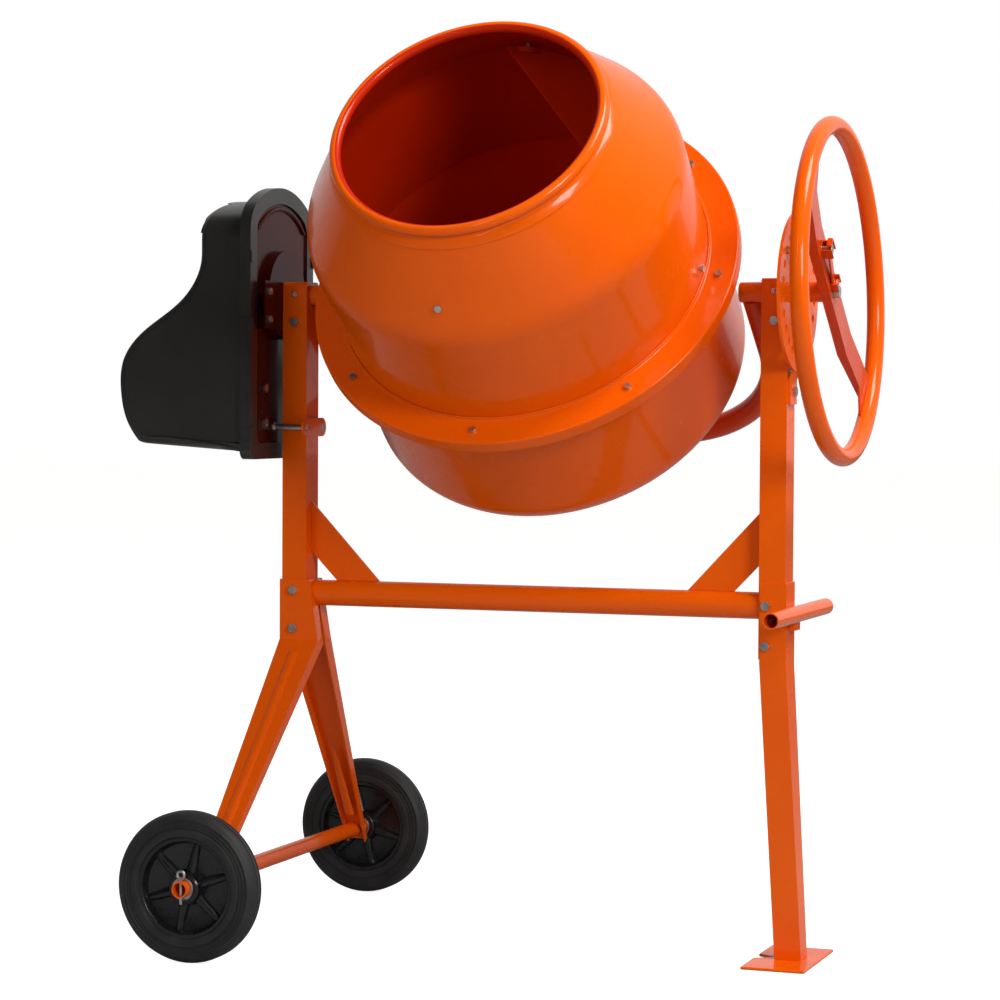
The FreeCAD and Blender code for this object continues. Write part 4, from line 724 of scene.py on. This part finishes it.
softSettings = {
    "left_post": {"width": 0.0040, "segments": 3},
    "right_post": {"width": 0.0040, "segments": 3},
    "left_cap": {"width": 0.0016, "segments": 2},
    "right_cap": {"width": 0.0016, "segments": 2},
    "cross_tube": {"width": 0.0004, "segments": 1},
    "gussets": {"width": 0.0009, "segments": 2},
    "front_wheel_leg": {"width": 0.0012, "segments": 2},
    "rear_wheel_leg": {"width": 0.0012, "segments": 2},
    "axle_tube": {"width": 0.0005, "segments": 2},
    "axle_hardware": {"width": 0.0005, "segments": 2},
    "support_leg": {"width": 0.0010, "segments": 2},
    "foot_plate": {"width": 0.0015, "segments": 2},
    "transport_handle": {"width": 0.0006, "segments": 2},
    "handle_bracket": {"width": 0.0008, "segments": 2},
    "frame_bolts": {"width": 0.0006, "segments": 2},
    "left_pivot_tube": {"width": 0.0004, "segments": 1},
    "right_pivot_tube": {"width": 0.0004, "segments": 1},
    # the yoke, spoke and latch parts take the painted-shade orange; the blades take the drum's painted inside
    # shade
    "yoke_tube": {"width": 0, "segments": 1, "finish": "painted_shade_orange"},
    "bearing_housing": {"width": 0.0008, "segments": 2},
    "hand_wheel_ring": {"width": 0, "segments": 1},
    "hand_wheel_spoke": {"width": 0.0010, "segments": 2, "finish": "painted_shade_orange"},
    "hub_bolt": {"width": 0.0007, "segments": 2},
    "locking_disc": {"width": 0.0006, "segments": 2},
    "latch_pin": {"width": 0.0005, "segments": 2},
    "latch_lever": {"width": 0.0005, "segments": 2, "finish": "painted_shade_orange"},
    "latch_brackets": {"width": 0.0005, "segments": 2, "finish": "painted_shade_orange"},
    "mixing_blades": {"width": 0.0008, "segments": 2, "finish": "inside_painted_shade"},
    "drum_bolts": {"width": 0.0006, "segments": 2},
    "drum_hub": {"width": 0.0008, "segments": 2},
    "back_plate": {"width": 0.0005, "segments": 2},
    "mounting_bracket": {"width": 0.0006, "segments": 2},
    "stay_rods": {"width": 0.0005, "segments": 2},
    "stay_strap": {"width": 0.0006, "segments": 2},
    "switch_box": {"width": 0.0012, "segments": 3},
    "on_button": {"width": 0.0012, "segments": 3},
    "off_button": {"width": 0.0012, "segments": 3},
    "cover_clips": {"width": 0.0004, "segments": 2},
}

for node, given in softSettings.items():
    softened(node, given["width"], given["segments"], finish=given.get("finish"))
print("frame pieces are made")


coverShape = {"corner": 0.012, "segments": 6, "sharp": 38, "flange": 0.0175, "smooth": 40}


def makeCover(settings):
    # the moulded housing: the long outer edges of its body get wide soft corners
    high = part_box("housing_cover")[1]
    piece = softened("housing_cover", 0, 1)
    only(piece)
    bpy.ops.object.mode_set(mode="EDIT")
    form = bmesh.from_edit_mesh(piece.data)
    weights = form.edges.layers.float.new("bevel_weight_edge")
    flangeAt = high.x - settings["flange"]
    for edge in form.edges:
        if not edge.is_manifold or not edge.is_convex:
            continue
        if math.degrees(edge.calc_face_angle()) < settings["sharp"]:
            continue
        ends = [corner.co.x for corner in edge.verts]
        if max(ends) < flangeAt:
            edge[weights] = 1.0
    bmesh.update_edit_mesh(piece.data)
    bpy.ops.object.mode_set(mode="OBJECT")
    applyModifier(piece, "BEVEL", width=settings["corner"], segments=settings["segments"],
                  limit_method="WEIGHT", use_clamp_overlap=False)
    smooth(piece, settings["smooth"])


makeCover(coverShape)
print("housing is made")


for name, node in nodes.items():
    for slot in node.material_slots:
        slot.material = finishes[slotOf[name]]


lampSettings = {
    "key": {"place": (3.3, -2.6, 2.1), "aim": (0.1, 0.0, 0.8),
            "size": (1.2, 1.2), "power": 84},
    "top": {"place": (1.9, -0.2, 3.3), "aim": (0.1, 0.0, 0.9),
            "size": (1.4, 1.2), "power": 92},
    "front": {"place": (-1.9, -3.9, 1.5), "aim": (0.0, 0.0, 0.8),
              "size": (2.4, 2.0), "power": 28, "mirrored": False},
    "back": {"place": (-1.6, 3.6, 2.3), "aim": (0.0, 0.0, 0.8),
             "size": (2.4, 1.8), "power": 42, "mirrored": False},
    "strip": {"place": (0.1, -2.9, 1.9), "aim": (0.0, 0.0, 0.85),
              "size": (0.10, 1.6), "power": 4},
}


def makeLamp(name, settings):
    data = bpy.data.lights.new(name, "AREA")
    data.shape = "RECTANGLE"
    data.size, data.size_y = settings["size"]
    data.energy = settings["power"]
    lamp = bpy.data.objects.new(name, data)
    bpy.context.scene.collection.objects.link(lamp)
    place = Vector(settings["place"])
    aim = Vector(settings["aim"]) - place
    lamp.rotation_euler = aim.to_track_quat("-Z", "Y").to_euler()
    lamp.location = place
    lamp.visible_glossy = settings.get("mirrored", True)


for name, given in lampSettings.items():
    makeLamp(name, given)


worldSettings = {
    "ambient": (1.0, 0.98, 0.95, 1), "strength": 0.23,
    "front": 0.03, "behind": 0.85, "wallFrom": -0.1, "wallTo": 0.6,
}


def makeWorld(settings):
    # plain white where it is seen; a dim studio with a bright wall behind the object in reflections
    world = bpy.data.worlds.new("studio")
    bpy.context.scene.world = world
    world.use_nodes = True
    tree = world.node_tree
    tree.nodes.clear()
    seen = tree.nodes.new("ShaderNodeBackground")
    seen.inputs["Color"].default_value = (1, 1, 1, 1)
    lit = tree.nodes.new("ShaderNodeBackground")
    lit.inputs["Color"].default_value = settings["ambient"]
    lit.inputs["Strength"].default_value = settings["strength"]
    mirrored = tree.nodes.new("ShaderNodeBackground")
    towards = tree.nodes.new("ShaderNodeTexCoord")
    sides = tree.nodes.new("ShaderNodeSeparateXYZ")
    ramp = tree.nodes.new("ShaderNodeMapRange")
    ramp.inputs["From Min"].default_value = settings["wallFrom"]
    ramp.inputs["From Max"].default_value = settings["wallTo"]
    ramp.inputs["To Min"].default_value = settings["front"]
    ramp.inputs["To Max"].default_value = settings["behind"]
    path = tree.nodes.new("ShaderNodeLightPath")
    glossy = tree.nodes.new("ShaderNodeMixShader")
    camera = tree.nodes.new("ShaderNodeMixShader")
    out = tree.nodes.new("ShaderNodeOutputWorld")
    tree.links.new(towards.outputs["Generated"], sides.inputs[0])
    tree.links.new(sides.outputs["Y"], ramp.inputs["Value"])
    tree.links.new(ramp.outputs["Result"], mirrored.inputs["Strength"])
    tree.links.new(path.outputs["Is Glossy Ray"], glossy.inputs[0])
    tree.links.new(lit.outputs[0], glossy.inputs[1])
    tree.links.new(mirrored.outputs[0], glossy.inputs[2])
    tree.links.new(path.outputs["Is Camera Ray"], camera.inputs[0])
    tree.links.new(glossy.outputs[0], camera.inputs[1])
    tree.links.new(seen.outputs[0], camera.inputs[2])
    tree.links.new(camera.outputs[0], out.inputs["Surface"])


makeWorld(worldSettings)


floorSettings = {
    "size": 60.0, "level": -0.0005, "glow": 0.9, "seen": (0.42, 0.42, 0.42, 1), "bounce": (0.42, 0.42, 0.42, 1),
}


def makeFloor(settings):
    # white to the camera apart from a soft shadow, and a plain pale surface to all other light
    bpy.ops.object.select_all(action="DESELECT")
    bpy.ops.mesh.primitive_plane_add(size=settings["size"], location=(0, 0, settings["level"]))
    floor = bpy.context.object
    floor.name = "floor"
    bpy.ops.object.transform_apply(location=True, rotation=True, scale=True)
    material = bpy.data.materials.new("floorWhite")
    material.use_nodes = True
    tree = material.node_tree
    tree.nodes.clear()
    glow = tree.nodes.new("ShaderNodeEmission")
    glow.inputs["Strength"].default_value = settings["glow"]
    seen = tree.nodes.new("ShaderNodeBsdfDiffuse")
    seen.inputs["Color"].default_value = settings["seen"]
    both = tree.nodes.new("ShaderNodeAddShader")
    bounce = tree.nodes.new("ShaderNodeBsdfDiffuse")
    bounce.inputs["Color"].default_value = settings["bounce"]
    path = tree.nodes.new("ShaderNodeLightPath")
    mix = tree.nodes.new("ShaderNodeMixShader")
    out = tree.nodes.new("ShaderNodeOutputMaterial")
    tree.links.new(glow.outputs[0], both.inputs[0])
    tree.links.new(seen.outputs[0], both.inputs[1])
    tree.links.new(path.outputs["Is Camera Ray"], mix.inputs[0])
    tree.links.new(bounce.outputs[0], mix.inputs[1])
    tree.links.new(both.outputs[0], mix.inputs[2])
    tree.links.new(mix.outputs[0], out.inputs["Surface"])
    floor.data.materials.append(material)


makeFloor(floorSettings)
bpy.context.scene.view_settings.view_transform = "Standard"
print("studio is set")
